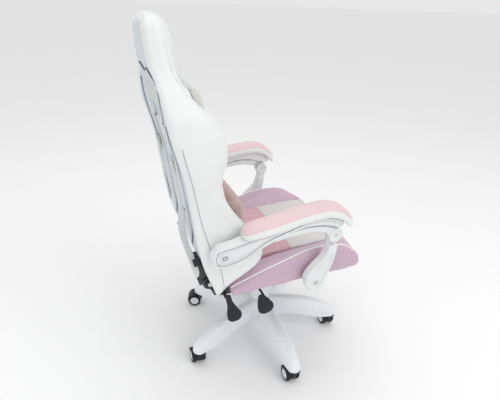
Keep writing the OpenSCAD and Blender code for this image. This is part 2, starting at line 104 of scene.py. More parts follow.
class MouldingSettings(bpy.types.PropertyGroup):
    """Plastic and metal parts"""

    base_white: colour("Base", "Nylon of the star base", (0.82, 0.845, 0.87))
    arm_white: colour("Arm plastic", "Plastic of the armrests", (0.76, 0.79, 0.785))
    black: colour("Black plastic", "Levers and casters", (0.012, 0.013, 0.016))
    steel_black: colour("Black paint", "Painted steel", (0.016, 0.016, 0.017))
    zinc: colour("Zinc", "Plated bolts and pins", (0.60, 0.60, 0.59))
    slot_grey: colour("Slot trim", "Moulded rings of the harness openings", (0.62, 0.66, 0.70))
    disc_holes: IntProperty(
        name="Holes in a wheel", description="Round holes in a caster's disc", default=6, min=3
    )


class StudioSettings(bpy.types.PropertyGroup):
    """Camera, floor and light"""

    floor: colour("Floor", "Colour of the plain floor", (0.95, 0.95, 0.95))
    lens: FloatProperty(
        name="Lens", description="Focal length", default=30.03, unit="CAMERA", min=10
    )
    light: FloatProperty(
        name="Sky light", description="Strength of the even light", default=0.80, min=0
    )


# ---- outlines and lines ------------------------------------------------------------------------


def smooth_line(points):
    """A function that passes through (place, value) points without overshooting."""
    points = sorted(points)
    place = np.array([p[0] for p in points], float)
    value = np.array([p[1] for p in points], float)
    step = np.diff(place)
    slope = np.diff(value) / step
    tangent = np.zeros_like(value)
    tangent[0], tangent[-1] = slope[0], slope[-1]
    for i in range(1, len(value) - 1):
        if slope[i - 1] * slope[i] > 0:
            tangent[i] = 2 / (1 / slope[i - 1] + 1 / slope[i])

    def line(at):
        at = np.clip(np.asarray(at, float), place[0], place[-1])
        i = np.clip(np.searchsorted(place, at) - 1, 0, len(step) - 1)
        h = step[i]
        s = (at - place[i]) / h
        return (
            (1 + 2 * s) * (1 - s) ** 2 * value[i]
            + s * (1 - s) ** 2 * h * tangent[i]
            + s * s * (3 - 2 * s) * value[i + 1]
            + s * s * (s - 1) * h * tangent[i + 1]
        )

    return line


def resample(points, count, closed=True):
    """The same line with evenly spaced points."""
    points = np.asarray(points, float)
    if closed:
        points = np.vstack([points, points[:1]])
    steps = np.linalg.norm(np.diff(points, axis=0), axis=1)
    run = np.concatenate([[0], np.cumsum(steps)])
    at = np.linspace(0, run[-1], count + 1)[:-1] if closed else np.linspace(0, run[-1], count)
    return np.stack([np.interp(at, run, points[:, k]) for k in range(points.shape[1])], 1)


def soften(points, passes, closed=True):
    """The same line with its corners eased."""
    points = np.array(points, float)
    for _ in range(passes):
        if closed:
            points = points / 2 + (np.roll(points, 1, 0) + np.roll(points, -1, 0)) / 4
        else:
            points[1:-1] = points[1:-1] / 2 + (points[:-2] + points[2:]) / 4
    return points


def eased(points, count, passes=3, closed=True):
    """An outline given by its corners, evenly spaced and with eased corners."""
    return soften(resample(points, count, closed), passes, closed)


def smoothstep(low, high, at):
    """0 below low, 1 above high, and smooth between."""
    t = np.clip((np.asarray(at, float) - low) / (high - low), 0, 1)
    return t * t * (3 - 2 * t)


# ---- meshes ------------------------------------------------------------------------------------


def new_piece(name, points, faces, smooth=True):
    """An object made from points and faces, with its normals outwards."""
    mesh = bpy.data.meshes.new(name)
    mesh.from_pydata([tuple(p) for p in points], [], faces)
    piece = bpy.data.objects.new(name, mesh)
    bpy.context.scene.collection.objects.link(piece)
    fix_normals(piece)
    for face in mesh.polygons:
        face.use_smooth = smooth
    return piece


def fix_normals(piece):
    """Merges doubled points and turns every face outwards."""
    bm = bmesh.new()
    bm.from_mesh(piece.data)
    bmesh.ops.remove_doubles(bm, verts=bm.verts, dist=1e-6)
    bmesh.ops.dissolve_degenerate(bm, edges=bm.edges, dist=1e-7)
    bmesh.ops.recalc_face_normals(bm, faces=bm.faces)
    bm.to_mesh(piece.data)
    bm.free()


def ring_faces(rings, count, first=0, closed=True):
    """Four-sided faces between rings of count points each."""
    around = count if closed else count - 1
    return [
        (
            first + r * count + k,
            first + r * count + (k + 1) % count,
            first + (r + 1) * count + (k + 1) % count,
            first + (r + 1) * count + k,
        )
        for r in range(rings - 1)
        for k in range(around)
    ]


def loft(name, rings):
    """A closed skin over rings of equally many points, capped at both ends."""
    rings = np.asarray(rings, float)
    count = rings.shape[1]
    faces = ring_faces(len(rings), count)
    faces.append(tuple(range(count - 1, -1, -1)))
    faces.append(tuple(range((len(rings) - 1) * count, len(rings) * count)))
    return new_piece(name, rings.reshape(-1, 3), faces)


def lathe(name, profile, place=(0, 0, 0), axis=(0, 0, 1), steps=48):
    """A turned solid: profile is a closed outline of (radius, height) pairs."""
    profile = np.asarray(profile, float)
    angles = np.linspace(0, 2 * math.pi, steps, endpoint=False)
    points = [
        (r * math.cos(a), r * math.sin(a), h) for a in angles for r, h in profile
    ]
    count = len(profile)
    faces = [
        (
            s * count + k,
            ((s + 1) % steps) * count + k,
            ((s + 1) % steps) * count + (k + 1) % count,
            s * count + (k + 1) % count,
        )
        for s in range(steps)
        for k in range(count)
    ]
    turn = Vector((0, 0, 1)).rotation_difference(Vector(axis)).to_matrix().to_4x4()
    move = Matrix.Translation(Vector(place)) @ turn
    points = [move @ Vector(p) for p in points]
    piece = new_piece(name, points, faces)
    crisp(piece, 40)
    return piece


def crisp(piece, degrees):
    """Smooth shading with edges sharper than an angle kept sharp."""
    piece.data.shade_smooth()
    bm = bmesh.new()
    bm.from_mesh(piece.data)
    for edge in bm.edges:
        if len(edge.link_faces) == 2:
            edge.smooth = edge.calc_face_angle() < math.radians(degrees)
    bm.to_mesh(piece.data)
    bm.free()


def applied(piece):
    """Writes the modifiers' result into the piece's mesh."""
    graph = bpy.context.evaluated_depsgraph_get()
    mesh = bpy.data.meshes.new_from_object(piece.evaluated_get(graph))
    old = piece.data
    piece.modifiers.clear()
    piece.data = mesh
    bpy.data.meshes.remove(old)
    return piece


def bevelled(piece, width, segments=3, degrees=35):
    """Rounds the sharp edges of a piece."""
    bevel = piece.modifiers.new("round", "BEVEL")
    bevel.width = width
    bevel.segments = segments
    bevel.limit_method = "ANGLE"
    bevel.angle_limit = math.radians(degrees)
    bevel.use_clamp_overlap = True
    applied(piece)
    crisp(piece, 50)
    return piece


def subdivided(piece, levels=1):
    """Subdivides a piece and applies the result."""
    modifier = piece.modifiers.new("subdivide", "SUBSURF")
    modifier.levels = modifier.render_levels = levels
    return applied(piece)


def slab(name, outline, x0, x1, rounding, segments=3):
    """A plate across X between x0 and x1 whose side outline is given in (y, z)."""
    count = len(outline)
    points = [(x, y, z) for x in (x0, x1) for y, z in outline]
    faces = ring_faces(2, count)
    faces += [tuple(range(count - 1, -1, -1)), tuple(range(count, 2 * count))]
    piece = new_piece(name, points, faces, smooth=False)
    return bevelled(piece, rounding, segments)


def cut(piece, cutter):
    """Takes the cutter's volume out of the piece and removes the cutter."""
    modifier = piece.modifiers.new("cut", "BOOLEAN")
    modifier.operation = "DIFFERENCE"
    modifier.solver = "MANIFOLD"
    modifier.object = cutter
    applied(piece)
    bpy.data.objects.remove(cutter)
    return piece


def tube(name, path, radius, sides=10, closed=False):
    """A round cord along a path, with rounded ends unless it closes on itself."""
    path = np.asarray(path, float)
    radii = np.full(len(path), radius)
    if not closed:
        lead, tail = path[0] - path[1], path[-1] - path[-2]
        lead, tail = lead / np.linalg.norm(lead), tail / np.linalg.norm(tail)
        caps = [(0.95, 0.25), (0.75, 0.62), (0.35, 0.92)]
        path = np.vstack(
            [[path[0] + lead * radius * b for _, b in reversed(caps)], path,
             [path[-1] + tail * radius * b for _, b in caps]]
        )
        ends = [radius * a for a, _ in caps]
        radii = np.concatenate([ends[::-1], radii, ends])
    tangent = np.gradient(path, axis=0)
    if closed:
        tangent = np.roll(path, -1, 0) - np.roll(path, 1, 0)
    tangent /= np.linalg.norm(tangent, axis=1)[:, None] + 1e-12
    side = np.cross(tangent[0], (0.31, 0.17, 0.93))
    side /= np.linalg.norm(side)
    rings = []
    for point, along, r in zip(path, tangent, radii):
        side = side - along * side.dot(along)
        side /= np.linalg.norm(side)
        other = np.cross(along, side)
        turn = np.linspace(0, 2 * math.pi, sides, endpoint=False)[:, None]
        rings.append(point + r * (np.cos(turn) * side + np.sin(turn) * other))
    if closed:
        count = sides
        points = np.concatenate(rings)
        faces = ring_faces(len(rings), count)
        last = (len(rings) - 1) * count
        shift = int(np.argmin(np.linalg.norm(rings[0] - rings[-1][0], axis=1)))
        faces += [
            (last + k, last + (k + 1) % count, (k + 1 + shift) % count, (k + shift) % count)
            for k in range(count)
        ]
        return new_piece(name, points, faces)
    return loft(name, rings)


def joined(name, pieces):
    """Several pieces made into one, which keeps their materials."""
    bm = bmesh.new()
    materials = []
    for piece in pieces:
        first = len(bm.faces)
        bm.from_mesh(piece.data)
        bm.faces.ensure_lookup_table()
        slots = []
        for material in piece.data.materials:
            if material not in materials:
                materials.append(material)
            slots.append(materials.index(material))
        for face in bm.faces[first:]:
            if slots:
                face.material_index = slots[min(face.material_index, len(slots) - 1)]
    mesh = bpy.data.meshes.new(name)
    bm.to_mesh(mesh)
    bm.free()
    for material in materials:
        mesh.materials.append(material)
    for piece in pieces:
        bpy.data.objects.remove(piece)
    whole = bpy.data.objects.new(name, mesh)
    bpy.context.scene.collection.objects.link(whole)
    return whole


def skin_of(piece):
    """The piece's faces, ready to be searched."""
    mesh = piece.data
    return BVHTree.FromPolygons(
        [v.co.copy() for v in mesh.vertices], [tuple(f.vertices) for f in mesh.polygons]
    )


def snapped(path, piece, lift):
    """The path laid on the piece's skin, raised by lift."""
    skin = skin_of(piece)
    laid = []
    for point in path:
        at, normal, _, _ = skin.find_nearest(Vector(point))
        laid.append(tuple(at + normal * lift))
    return soften(laid, 2, closed=False)


def snapped_down(path, piece, lift):
    """The path dropped straight down onto the piece's top."""
    skin = skin_of(piece)
    laid = []
    for point in path:
        at, normal, _, _ = skin.ray_cast(Vector(point) + Vector((0, 0, 0.1)), Vector((0, 0, -1)))
        if at is not None:
            laid.append(tuple(at + normal * lift))
    return soften(laid, 2, closed=False)


def stitched(name, path, pitch, radius=0.0005):
    """A row of separate thread stitches along a path."""
    path = np.asarray(path, float)
    run = float(np.linalg.norm(np.diff(path, axis=0), axis=1).sum())
    count = max(int(run / pitch), 2)
    line = resample(path, count * 4, closed=False)
    points, faces = [], []
    for k in range(0, len(line) - 3, 4):
        a, b = line[k], line[k + 2]
        along = (b - a) / (np.linalg.norm(b - a) + 1e-12)
        side = np.cross(along, (0.2, 0.3, 0.93))
        side /= np.linalg.norm(side)
        other = np.cross(along, side)
        first = len(points)
        points.append(a)
        for centre in (a + (b - a) * 0.2, a + (b - a) * 0.8):
            for turn in range(5):
                angle = turn * 2 * math.pi / 5
                points.append(centre + radius * (math.cos(angle) * side + math.sin(angle) * other))
        points.append(b)
        for turn in range(5):
            after = (turn + 1) % 5
            faces.append((first, first + 1 + after, first + 1 + turn))
            faces.append((first + 1 + turn, first + 1 + after, first + 6 + after,
                          first + 6 + turn))
            faces.append((first + 11, first + 6 + turn, first + 6 + after))
    return new_piece(name, points, faces)


# ---- soft pieces -------------------------------------------------------------------------------


def from_node(name, node, voxel=0.005, passes=6, shrink=0.0):
    """A rounded copy of a plain soft solid of the frame, ready for padding."""
    source = frame["nodes"][node]
    piece = bpy.data.objects.new(name, source.data.copy())
    piece.data.materials.clear()
    bpy.context.scene.collection.objects.link(piece)
    remesh = piece.modifiers.new("voxels", "REMESH")
    remesh.mode = "VOXEL"
    remesh.voxel_size = voxel
    applied(piece)
    smooth = piece.modifiers.new("ease", "SMOOTH")
    smooth.factor = 0.6
    smooth.iterations = passes
    applied(piece)
    if shrink:
        move_points(piece, points_of(piece) - normals_of(piece) * shrink)
    piece.data.shade_smooth()
    return piece


def puffed(piece, held=None, pressure=4.0, cap=0.008, steps=18, bending=0.5):
    """Swells a piece like filled cloth. held(x, y, z) says how firmly a point is sewn down."""
    count = len(piece.data.vertices)
    rest = np.empty(count * 3)
    piece.data.vertices.foreach_get("co", rest)
    rest = rest.reshape(-1, 3)
    cloth = piece.modifiers.new("cloth", "CLOTH")
    cloth.settings.quality = 4
    cloth.settings.mass = 0.3
    cloth.settings.tension_stiffness = 12
    cloth.settings.compression_stiffness = 10
    cloth.settings.bending_stiffness = bending
    cloth.settings.use_pressure = True
    cloth.settings.uniform_pressure_force = pressure
    cloth.settings.effector_weights.gravity = 0
    if held is not None:
        group = piece.vertex_groups.new(name="sewn")
        for index, point in enumerate(rest):
            weight = float(held(*point))
            if weight > 0.01:
                group.add([index], min(weight, 1.0), "REPLACE")
        cloth.settings.vertex_group_mass = "sewn"
    cloth.point_cache.frame_start = 1
    cloth.point_cache.frame_end = steps
    scene = bpy.context.scene
    for step in range(1, steps + 1):
        scene.frame_set(step)
    graph = bpy.context.evaluated_depsgraph_get()
    result = np.empty(count * 3)
    piece.evaluated_get(graph).data.vertices.foreach_get("co", result)
    move = result.reshape(-1, 3) - rest
    far = np.linalg.norm(move, axis=1)[:, None]
    move *= np.minimum(1, cap / np.maximum(far, 1e-9))
    piece.modifiers.clear()
    piece.data.vertices.foreach_set("co", (rest + move).ravel())
    piece.vertex_groups.clear()
    piece.data.update()
    scene.frame_set(1)
    return piece


def sliced(piece, place, normal):
    """Adds a clean edge line where a plane crosses the piece."""
    bm = bmesh.new()
    bm.from_mesh(piece.data)
    geometry = bm.verts[:] + bm.edges[:] + bm.faces[:]
    bmesh.ops.bisect_plane(bm, geom=geometry, dist=1e-5, plane_co=place, plane_no=normal)
    bm.to_mesh(piece.data)
    bm.free()
    piece.data.shade_smooth()
    return piece


def painted(piece, materials, choose):
    """Gives each face the material whose number choose(centre, normal) returns."""
    piece.data.materials.clear()
    for material in materials:
        piece.data.materials.append(material)
    for face in piece.data.polygons:
        face.material_index = int(choose(face.center, face.normal))
    return piece


def points_of(piece):
    """The places of a piece's points as rows of an array."""
    rows = np.empty(len(piece.data.vertices) * 3)
    piece.data.vertices.foreach_get("co", rows)
    return rows.reshape(-1, 3)


def move_points(piece, rows):
    """Writes the places of a piece's points."""
    piece.data.vertices.foreach_set("co", np.ascontiguousarray(rows, float).ravel())
    piece.data.update()


def normals_of(piece):
    """The outward direction at each point of a piece."""
    rows = np.empty(len(piece.data.vertices) * 3)
    piece.data.vertices.foreach_get("normal", rows)
    return rows.reshape(-1, 3)


def creased(piece, size, depth, seed, mask=None):
    """Presses shallow, irregular folds into a cover."""
    rng = np.random.default_rng(seed)
    waves = rng.normal(size=(7, 3)) / size
    shift = rng.uniform(0, 2 * math.pi, 7)
    rows = points_of(piece)
    push = depth * np.clip(np.sin(rows @ waves.T + shift).mean(1) * 2.2, -1, 1)
    if mask is not None:
        push *= mask(*rows.T)
    move_points(piece, rows + normals_of(piece) * push[:, None])
    return piece


# ---- materials ---------------------------------------------------------------------------------


class Finish:
    """Builds a node material around one main shader, step by step."""

    def __init__(self, name, base, roughness):
        self.material = bpy.data.materials.new(name)
        self.material.use_nodes = True
        self.material.diffuse_color = (*base, 1)
        self.tree = self.material.node_tree
        self.shader = self.tree.nodes["Principled BSDF"]
        self.base = tuple(base)
        self.set("Base Color", (*base, 1))
        self.set("Roughness", roughness)
        self.place = self.node("ShaderNodeTexCoord").outputs["Object"]
        self.height = None

    def node(self, kind, **values):
        """Adds a node and sets its options."""
        made = self.tree.nodes.new(kind)
        for key, value in values.items():
            setattr(made, key, value)
        return made

    def link(self, a, b):
        """Joins two sockets."""
        self.tree.links.new(a, b)

    def set(self, socket, value):
        """Sets a socket of the main shader."""
        self.shader.inputs[socket].default_value = value
        return self

    def noise(self, scale, detail=3.0, roughness=0.55, stretch=None):
        """Cloudy noise over the piece."""
        made = self.node("ShaderNodeTexNoise")
        made.inputs["Scale"].default_value = scale
        made.inputs["Detail"].default_value = detail
        made.inputs["Roughness"].default_value = roughness
        self.link(self.stretched(stretch), made.inputs["Vector"])
        return made.outputs["Fac"]

    def stretched(self, stretch):
        """The place on the piece, stretched along its axes."""
        if stretch is None:
            return self.place
        mapping = self.node("ShaderNodeMapping")
        mapping.inputs["Scale"].default_value = stretch
        self.link(self.place, mapping.inputs["Vector"])
        return mapping.outputs["Vector"]

    def cells(self, scale, feature="DISTANCE_TO_EDGE", stretch=None):
        """Small cells, as in the grain of leather."""
        made = self.node("ShaderNodeTexVoronoi", feature=feature)
        made.inputs["Scale"].default_value = scale
        self.link(self.stretched(stretch), made.inputs["Vector"])
        return made.outputs["Distance"]

    def ribs(self, scale, direction, distortion=0.0):
        """Even ribs across one axis."""
        made = self.node("ShaderNodeTexWave", bands_direction=direction)
        made.inputs["Scale"].default_value = scale
        made.inputs["Distortion"].default_value = distortion
        self.link(self.place, made.inputs["Vector"])
        return made.outputs["Fac"]

    def spread(self, value, low, high, to_low, to_high):
        """Maps low to high onto another range, and clips it there."""
        made = self.node("ShaderNodeMapRange")
        for key, number in zip(("From Min", "From Max", "To Min", "To Max"),
                               (low, high, to_low, to_high)):
            made.inputs[key].default_value = number
        self.link(value, made.inputs["Value"])
        return made.outputs["Result"]

    def tint(self, value, other, low=0.35, high=0.65, share=1.0):
        """Mixes the colour so far towards another one where value is high."""
        mix = self.node("ShaderNodeMix", data_type="RGBA")
        self.link(self.spread(value, low, high, 0, share), mix.inputs["Factor"])
        before = self.shader.inputs["Base Color"]
        if before.is_linked:
            self.link(before.links[0].from_socket, mix.inputs["A"])
        else:
            mix.inputs["A"].default_value = (*self.base, 1)
        mix.inputs["B"].default_value = (*other, 1)
        self.link(mix.outputs["Result"], before)
        return self

    def rough(self, value, low, high):
        """Lets the roughness vary with value."""
        self.link(self.spread(value, 0.3, 0.7, low, high), self.shader.inputs["Roughness"])
        return self

    def relief(self, value, depth):
        """Adds a layer of fine relief, depth metres high."""
        bump = self.node("ShaderNodeBump")
        bump.inputs["Distance"].default_value = depth
        bump.inputs["Strength"].default_value = 1.0
        self.link(value, bump.inputs["Height"])
        if self.height is not None:
            self.link(self.height, bump.inputs["Normal"])
        self.height = bump.outputs["Normal"]
        self.link(self.height, self.shader.inputs["Normal"])
        return self

    def edges_worn(self, other, share):
        """Lets outer edges show another colour, as handling does."""
        sharp = self.node("ShaderNodeNewGeometry").outputs["Pointiness"]
        return self.tint(sharp, other, 0.52, 0.60, share)


def shade(base, factor, lean=(0, 0, 0)):
    """A lighter or darker version of a colour."""
    return tuple(min(1.0, max(0.0, c * factor + d)) for c, d in zip(base, lean))


def leather(name, base, gloss=0.42, coat=0.0):
    """Synthetic leather: fine grain cells, soft creases, faint blotches and lighter worn patches.
    """
    finish = Finish(name, base, gloss)
    finish.set("Specular IOR Level", 0.42)
    finish.set("Sheen Weight", 0.08)
    finish.set("Sheen Roughness", 0.5)
    finish.set("Coat Weight", coat)
    finish.set("Coat Roughness", 0.24)
    finish.tint(finish.noise(6, 2), shade(base, 0.95, (0.004, 0, 0.003)), 0.42, 0.75, 0.5)
    finish.tint(finish.noise(45, 3), shade(base, 1.05), 0.5, 0.75, 0.5)
    finish.rough(finish.noise(30, 4), gloss - 0.07, gloss + 0.10)
    finish.relief(finish.noise(24, 2, stretch=(1, 1, 0.45)), 0.0006)
    finish.relief(finish.cells(720), 0.00022)
    finish.relief(finish.noise(1500, 2), 0.00007)
    return finish.material


def knitted(name, base):
    """Soft spacer fabric with a small open mesh, its holes darkened as painted shade, and a dull
    sheen.
    """
    finish = Finish(name, base, 0.85)
    finish.set("Sheen Weight", 0.35)
    finish.set("Sheen Roughness", 0.45)
    holes = finish.cells(330, "F1", stretch=(1, 1, 0.8))
    finish.tint(finish.noise(12, 2), shade(base, 0.86, (0.01, 0, 0)), 0.4, 0.7, 0.7)
    # painted shade: the cell middles, the mesh's open holes, are coloured darker as the shade
    # inside them
    finish.tint(finish.spread(holes, 0.0, 0.32, 1, 0), shade(base, 0.52), 0.35, 0.9, 0.8)
    finish.relief(holes, 0.0007)
    finish.relief(finish.noise(900, 2), 0.0002)
    return finish.material


def webbing(name, base, direction):
    """Elastic band: close ribs along its length, with soft painted shade in the troughs between
    them.
    """
    finish = Finish(name, base, 0.78)
    finish.set("Sheen Weight", 0.25)
    ribs = finish.ribs(190, direction, 0.4)
    # painted shade: the troughs between the ribs are coloured darker
    finish.tint(finish.spread(ribs, 0.0, 0.35, 1, 0), shade(base, 0.72), 0.3, 1.0, 0.7)
    finish.tint(finish.noise(60, 3), shade(base, 0.92), 0.45, 0.7, 0.5)
    finish.relief(ribs, 0.0005)
    finish.relief(finish.noise(1400, 2), 0.00015)
    return finish.material


def moulded_finish(name, base, gloss=0.34, grain=0.00006, worn=None):
    """Injection-moulded plastic: fine spark texture, slow waviness and handled edges."""
    finish = Finish(name, base, gloss)
    finish.set("Specular IOR Level", 0.5 if max(base) > 0.1 else 0.3)
    finish.tint(finish.noise(5, 1), shade(base, 0.97), 0.42, 0.7, 0.5)
    finish.rough(finish.noise(55, 4), gloss - 0.06, gloss + 0.09)
    if worn is not None:
        finish.edges_worn(worn, 0.5)
    finish.relief(finish.noise(1300, 3), grain)
    return finish


def moulded(name, base, gloss=0.34, grain=0.00006, worn=None):
    """The material of an injection-moulded plastic."""
    return moulded_finish(name, base, gloss, grain, worn).material


def painted_steel(name, base):
    """Powder coat: orange peel, pale dusty patches, rubbed edges."""
    finish = Finish(name, base, 0.48)
    finish.set("Specular IOR Level", 0.5)
    finish.tint(finish.noise(18, 4), shade(base, 1.9), 0.5, 0.8, 0.35)
    finish.edges_worn((0.10, 0.10, 0.10), 0.45)
    finish.rough(finish.noise(70, 3), 0.40, 0.58)
    finish.relief(finish.noise(620, 2), 0.00018)
    return finish.material


def zinc(name, base):
    """Plated steel with turning marks and small stains."""
    finish = Finish(name, base, 0.32)
    finish.set("Metallic", 1.0)
    finish.tint(finish.noise(160, 3), shade(base, 0.75), 0.45, 0.75, 0.5)
    finish.rough(finish.noise(300, 4), 0.22, 0.42)
    finish.relief(finish.noise(700, 2, stretch=(1, 1, 5)), 0.00006)
    return finish.material


def speckled(name, base, dots):
    """Plastic with small pale and grey flecks."""
    finish = moulded_finish(name, base, 0.40)
    finish.tint(finish.noise(750, 2), dots, 0.56, 0.62, 0.8)
    return finish.material


MATERIALS = {}


def make_materials(cover, moulding):
    """Every finish of the chair, by the plain name of what it covers; the seam, gap and green
    lines and the rear leather are painted shade.
    """
    MATERIALS.update(
        white=leather("white_leather", cover.white, 0.40),
        lilac=leather("lilac_leather", cover.lilac, 0.31, 0.35),
        pink=leather("pink_leather", cover.pink, 0.44),
        blush=leather("blush_leather", cover.blush, 0.42),
        grey=leather("grey_leather", cover.grey, 0.50),
        head=leather("head_pillow_leather", cover.head, 0.50),
        piping=leather("piping_leather", cover.piping_white, 0.35),
        # painted shade: dark green for a thin line along the inner edge of the wing's piping,
        # standing for shade with a green reflection
        green=leather("green_binding", (0.10, 0.17, 0.14), 0.6),
        thread=webbing("thread", shade(cover.white, 0.95), "X"),
        lumbar=knitted("lumbar_knit", cover.lumbar),
        band=webbing("elastic_band", shade(cover.white, 0.92), "X"),
        base=moulded("base_nylon", moulding.base_white, 0.30, 0.00001),
        sleeve=moulded("sleeve_plastic", moulding.base_white, 0.36, 0.00002),
        arm=moulded("arm_plastic", moulding.arm_white, 0.34, 0.00005),
        black=moulded("black_plastic", moulding.black, 0.36, 0.00010, worn=(0.05, 0.05, 0.055)),
        tyre=moulded("tyre_nylon", shade(moulding.black, 1.2), 0.44, 0.00008),
        disc=moulded("disc_plastic", shade(moulding.base_white, 1.02), 0.35, 0.00002),
        trim=moulded("slot_trim_plastic", moulding.slot_grey, 0.28),
        buckle=speckled("speckled_buckle", moulding.arm_white, (0.25, 0.25, 0.26)),
        steel=painted_steel("black_paint", moulding.steel_black),
        zinc=zinc("zinc_plate", moulding.zinc),
        dust=knitted("dust_cover", (0.02, 0.02, 0.02)),
        # painted shadow: darker grey for thin tubes laid in seams and grooves where shade falls
        seam=leather("seam_shadow", (0.30, 0.315, 0.34), 0.6),
        # painted shadow: near black for thin tubes along rims and gaps where shade falls
        gap=leather("gap_shadow", (0.10, 0.105, 0.12), 0.7),
        # painted shade: the leather of the rear panel, darker and bluer than the white
        rear=leather("rear_painted_shade_leather", cover.rear, 0.44),
        nylon=moulded("natural_nylon", (0.66, 0.65, 0.60), 0.45),
    )


def placed(piece, body, material=None, nodes=()):
    """Puts a finished piece on its body, gives it the named material if any, and hides the frame
    parts it replaces.
    """
    if material is not None:
        piece.data.materials.clear()
        piece.data.materials.append(MATERIALS[material])
    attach(piece, body)
    if nodes:
        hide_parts(*nodes)
    return piece


# ---- shapes of this chair ----------------------------------------------------------------------

# side view of the back: heights against distances to the rear, all in metres
REAR = smooth_line([(0.427, 0.264), (0.450, 0.271), (0.505, 0.292), (0.62, 0.322), (0.72, 0.336),
                    (0.824, 0.353), (0.937, 0.382), (1.0, 0.394), (1.06, 0.402), (1.15, 0.418),
                    (1.2, 0.420), (1.245, 0.412)])
WING_FRONT = smooth_line([(0.427, 0.256), (0.440, 0.247), (0.466, 0.228), (0.496, 0.181),
                          (0.52, 0.146), (0.542, 0.125), (0.566, 0.119), (0.592, 0.124),
                          (0.648, 0.160), (0.695, 0.197), (0.716, 0.213), (0.772, 0.245),
                          (0.809, 0.254), (0.843, 0.249), (0.893, 0.240), (0.935, 0.242),
                          (0.973, 0.257), (1.002, 0.279), (1.028, 0.307), (1.049, 0.326),
                          (1.066, 0.336), (1.087, 0.347), (1.14, 0.358), (1.181, 0.365),
                          (1.2, 0.370), (1.245, 0.380)])
BACK_FRONT = smooth_line([(0.427, 0.262), (0.46, 0.240), (0.48, 0.228), (0.50, 0.218),
                          (0.60, 0.214), (0.70, 0.224), (0.80, 0.244), (0.90, 0.278),
                          (0.96, 0.302), (1.05, 0.322), (1.09, 0.324), (1.12, 0.323),
                          (1.15, 0.324), (1.20, 0.334), (1.245, 0.356)])
HALF_WIDTH = smooth_line([(0.427, 0.252), (0.445, 0.262), (0.48, 0.266), (0.60, 0.267),
                          (0.80, 0.264), (0.93, 0.268), (0.985, 0.264), (1.0, 0.260),
                          (1.028, 0.244), (1.049, 0.224), (1.066, 0.203), (1.087, 0.178),
                          (1.11, 0.158), (1.14, 0.144), (1.181, 0.133), (1.2, 0.127),
                          (1.245, 0.120)])
BACK_TOP = 1.243
DOME_FROM = 1.196
PANEL_HALF, PANEL_SEAM = 0.222, 0.118
STRAP_TOP, STRAP_LOW = 0.948, 0.548
LOOP_HALF = 0.094
BAND_THICK = 0.0024
SLOT_X, SLOT_Z, SLOT_TAPER = 0.062, 1.022, 0.12


def proud(z):
    """How far the front panel stands out; it sinks away under the head section."""
    return float(1 - smoothstep(1.02, 1.10, z))


def dish(z):
    """How far the middle of the rear lies in front of its side rims."""
    return 0.011 * float((1 - smoothstep(1.05, 1.11, z)) * smoothstep(0.548, 0.60, z))


def rear_face(z):
    """Distance to the rear of the dished middle of the back."""
    return float(REAR(z)) - dish(z)


def back_section(z):
    """One level outline of the back's cover, from the middle of the rear round the right side."""
    half, rear, tip, front = (float(f(z)) for f in (HALF_WIDTH, REAR, WING_FRONT, BACK_FRONT))
    head = float(smoothstep(1.0, 1.10, z))
    tip_r = 0.013 * (1 - head) + 0.010 * head
    tip_r = min(tip_r, (rear - tip) * 0.24)
    corner = min(0.020 + 0.018 * head, (rear - tip) * 0.45)
    inner = half - 0.048 * (1 - head) - 0.035 * head
    deep = dish(z)

    def curve(a, b, c, count):
        t = np.linspace(0, 1, count, endpoint=False)[:, None]
        a, b, c = map(np.array, (a, b, c))
        return (1 - t) ** 2 * a + 2 * t * (1 - t) * b + t * t * c

    def straight(a, b, count, bow=(0, 0)):
        t = np.linspace(0, 1, count, endpoint=False)[:, None]
        return np.array(a) * (1 - t) + np.array(b) * t + np.sin(math.pi * t) * np.array(bow)

    rim = (half - corner * 1.1, rear)
    fold = 0.022 * head
    bow = 0.003 + 0.008 * math.exp(-((z - 0.85) / 0.09) ** 2) - 0.006 * math.exp(
        -((z - 0.715) / 0.045) ** 2)
    side_start = (half, rear - corner)
    side_end = (half - 0.001, tip + tip_r)
    tip_end = (half - 2 * tip_r * (1 - head) - tip_r * head, tip + tip_r * (1 - 1.35 * head))
    level = np.vstack([
        straight(tip_end, (inner, front), 8, (0, -0.004)),
        straight((inner, front), (0, front), 20),
    ])
    along = np.linspace(1, 0, 28, endpoint=False)
    crowned = np.column_stack([
        tip_end[0] * along, front + (tip_end[1] - front) * along ** 1.5
    ])
    return np.vstack([
        straight((0, rear - deep), (half - 0.052 - fold, rear - deep), 20),
        curve((half - 0.052 - fold, rear - deep), (half - 0.036 - fold, rear - deep),
              (half - 0.030 - fold, rear - deep / 2), 4),
        curve((half - 0.030 - fold, rear - deep / 2), (half - 0.026 - fold, rear), rim, 4),
        curve(rim, (half, rear), side_start, 8),
        straight(side_start, side_end, 22, (bow, 0)),
        curve(side_end, (half - tip_r * (1 - head), tip - tip_r * (1 - head)), tip_end, 8),
        level * (1 - head) + crowned * head,
        [(0, front)],
    ])


def back_ring(z, scale=1.0):
    """A closed level ring of the back's cover, drawn in towards its middle by scale."""
    half = back_section(z)
    ring = np.vstack([half * (-1, 1), half[-2:0:-1]])
    middle = np.array([0, (float(REAR(z)) + float(WING_FRONT(z))) / 2])
    return middle + (ring - middle) * scale


def stadium(width, height, count, taper=0.0):
    """An upright slot outline about the origin in (x, z), wider at the top by taper."""
    r = width / 2
    straight_half = height / 2 - r
    points = []
    for k in range(count):
        angle = 2 * math.pi * k / count
        x, z = r * math.cos(angle), r * math.sin(angle)
        z += straight_half if z >= 0 else -straight_half
        points.append((x * (1 + taper * z / height), z))
    return soften(resample(points, count), 2)


def slot_prism(side):
    """A straight cutter through one harness opening."""
    outline = stadium(0.076, 0.140, 40)
    rings = [[(side * SLOT_X + x, y, SLOT_Z + z) for x, z in outline] for y in (0.15, 0.50)]
    return loft("slot_cutter", rings)


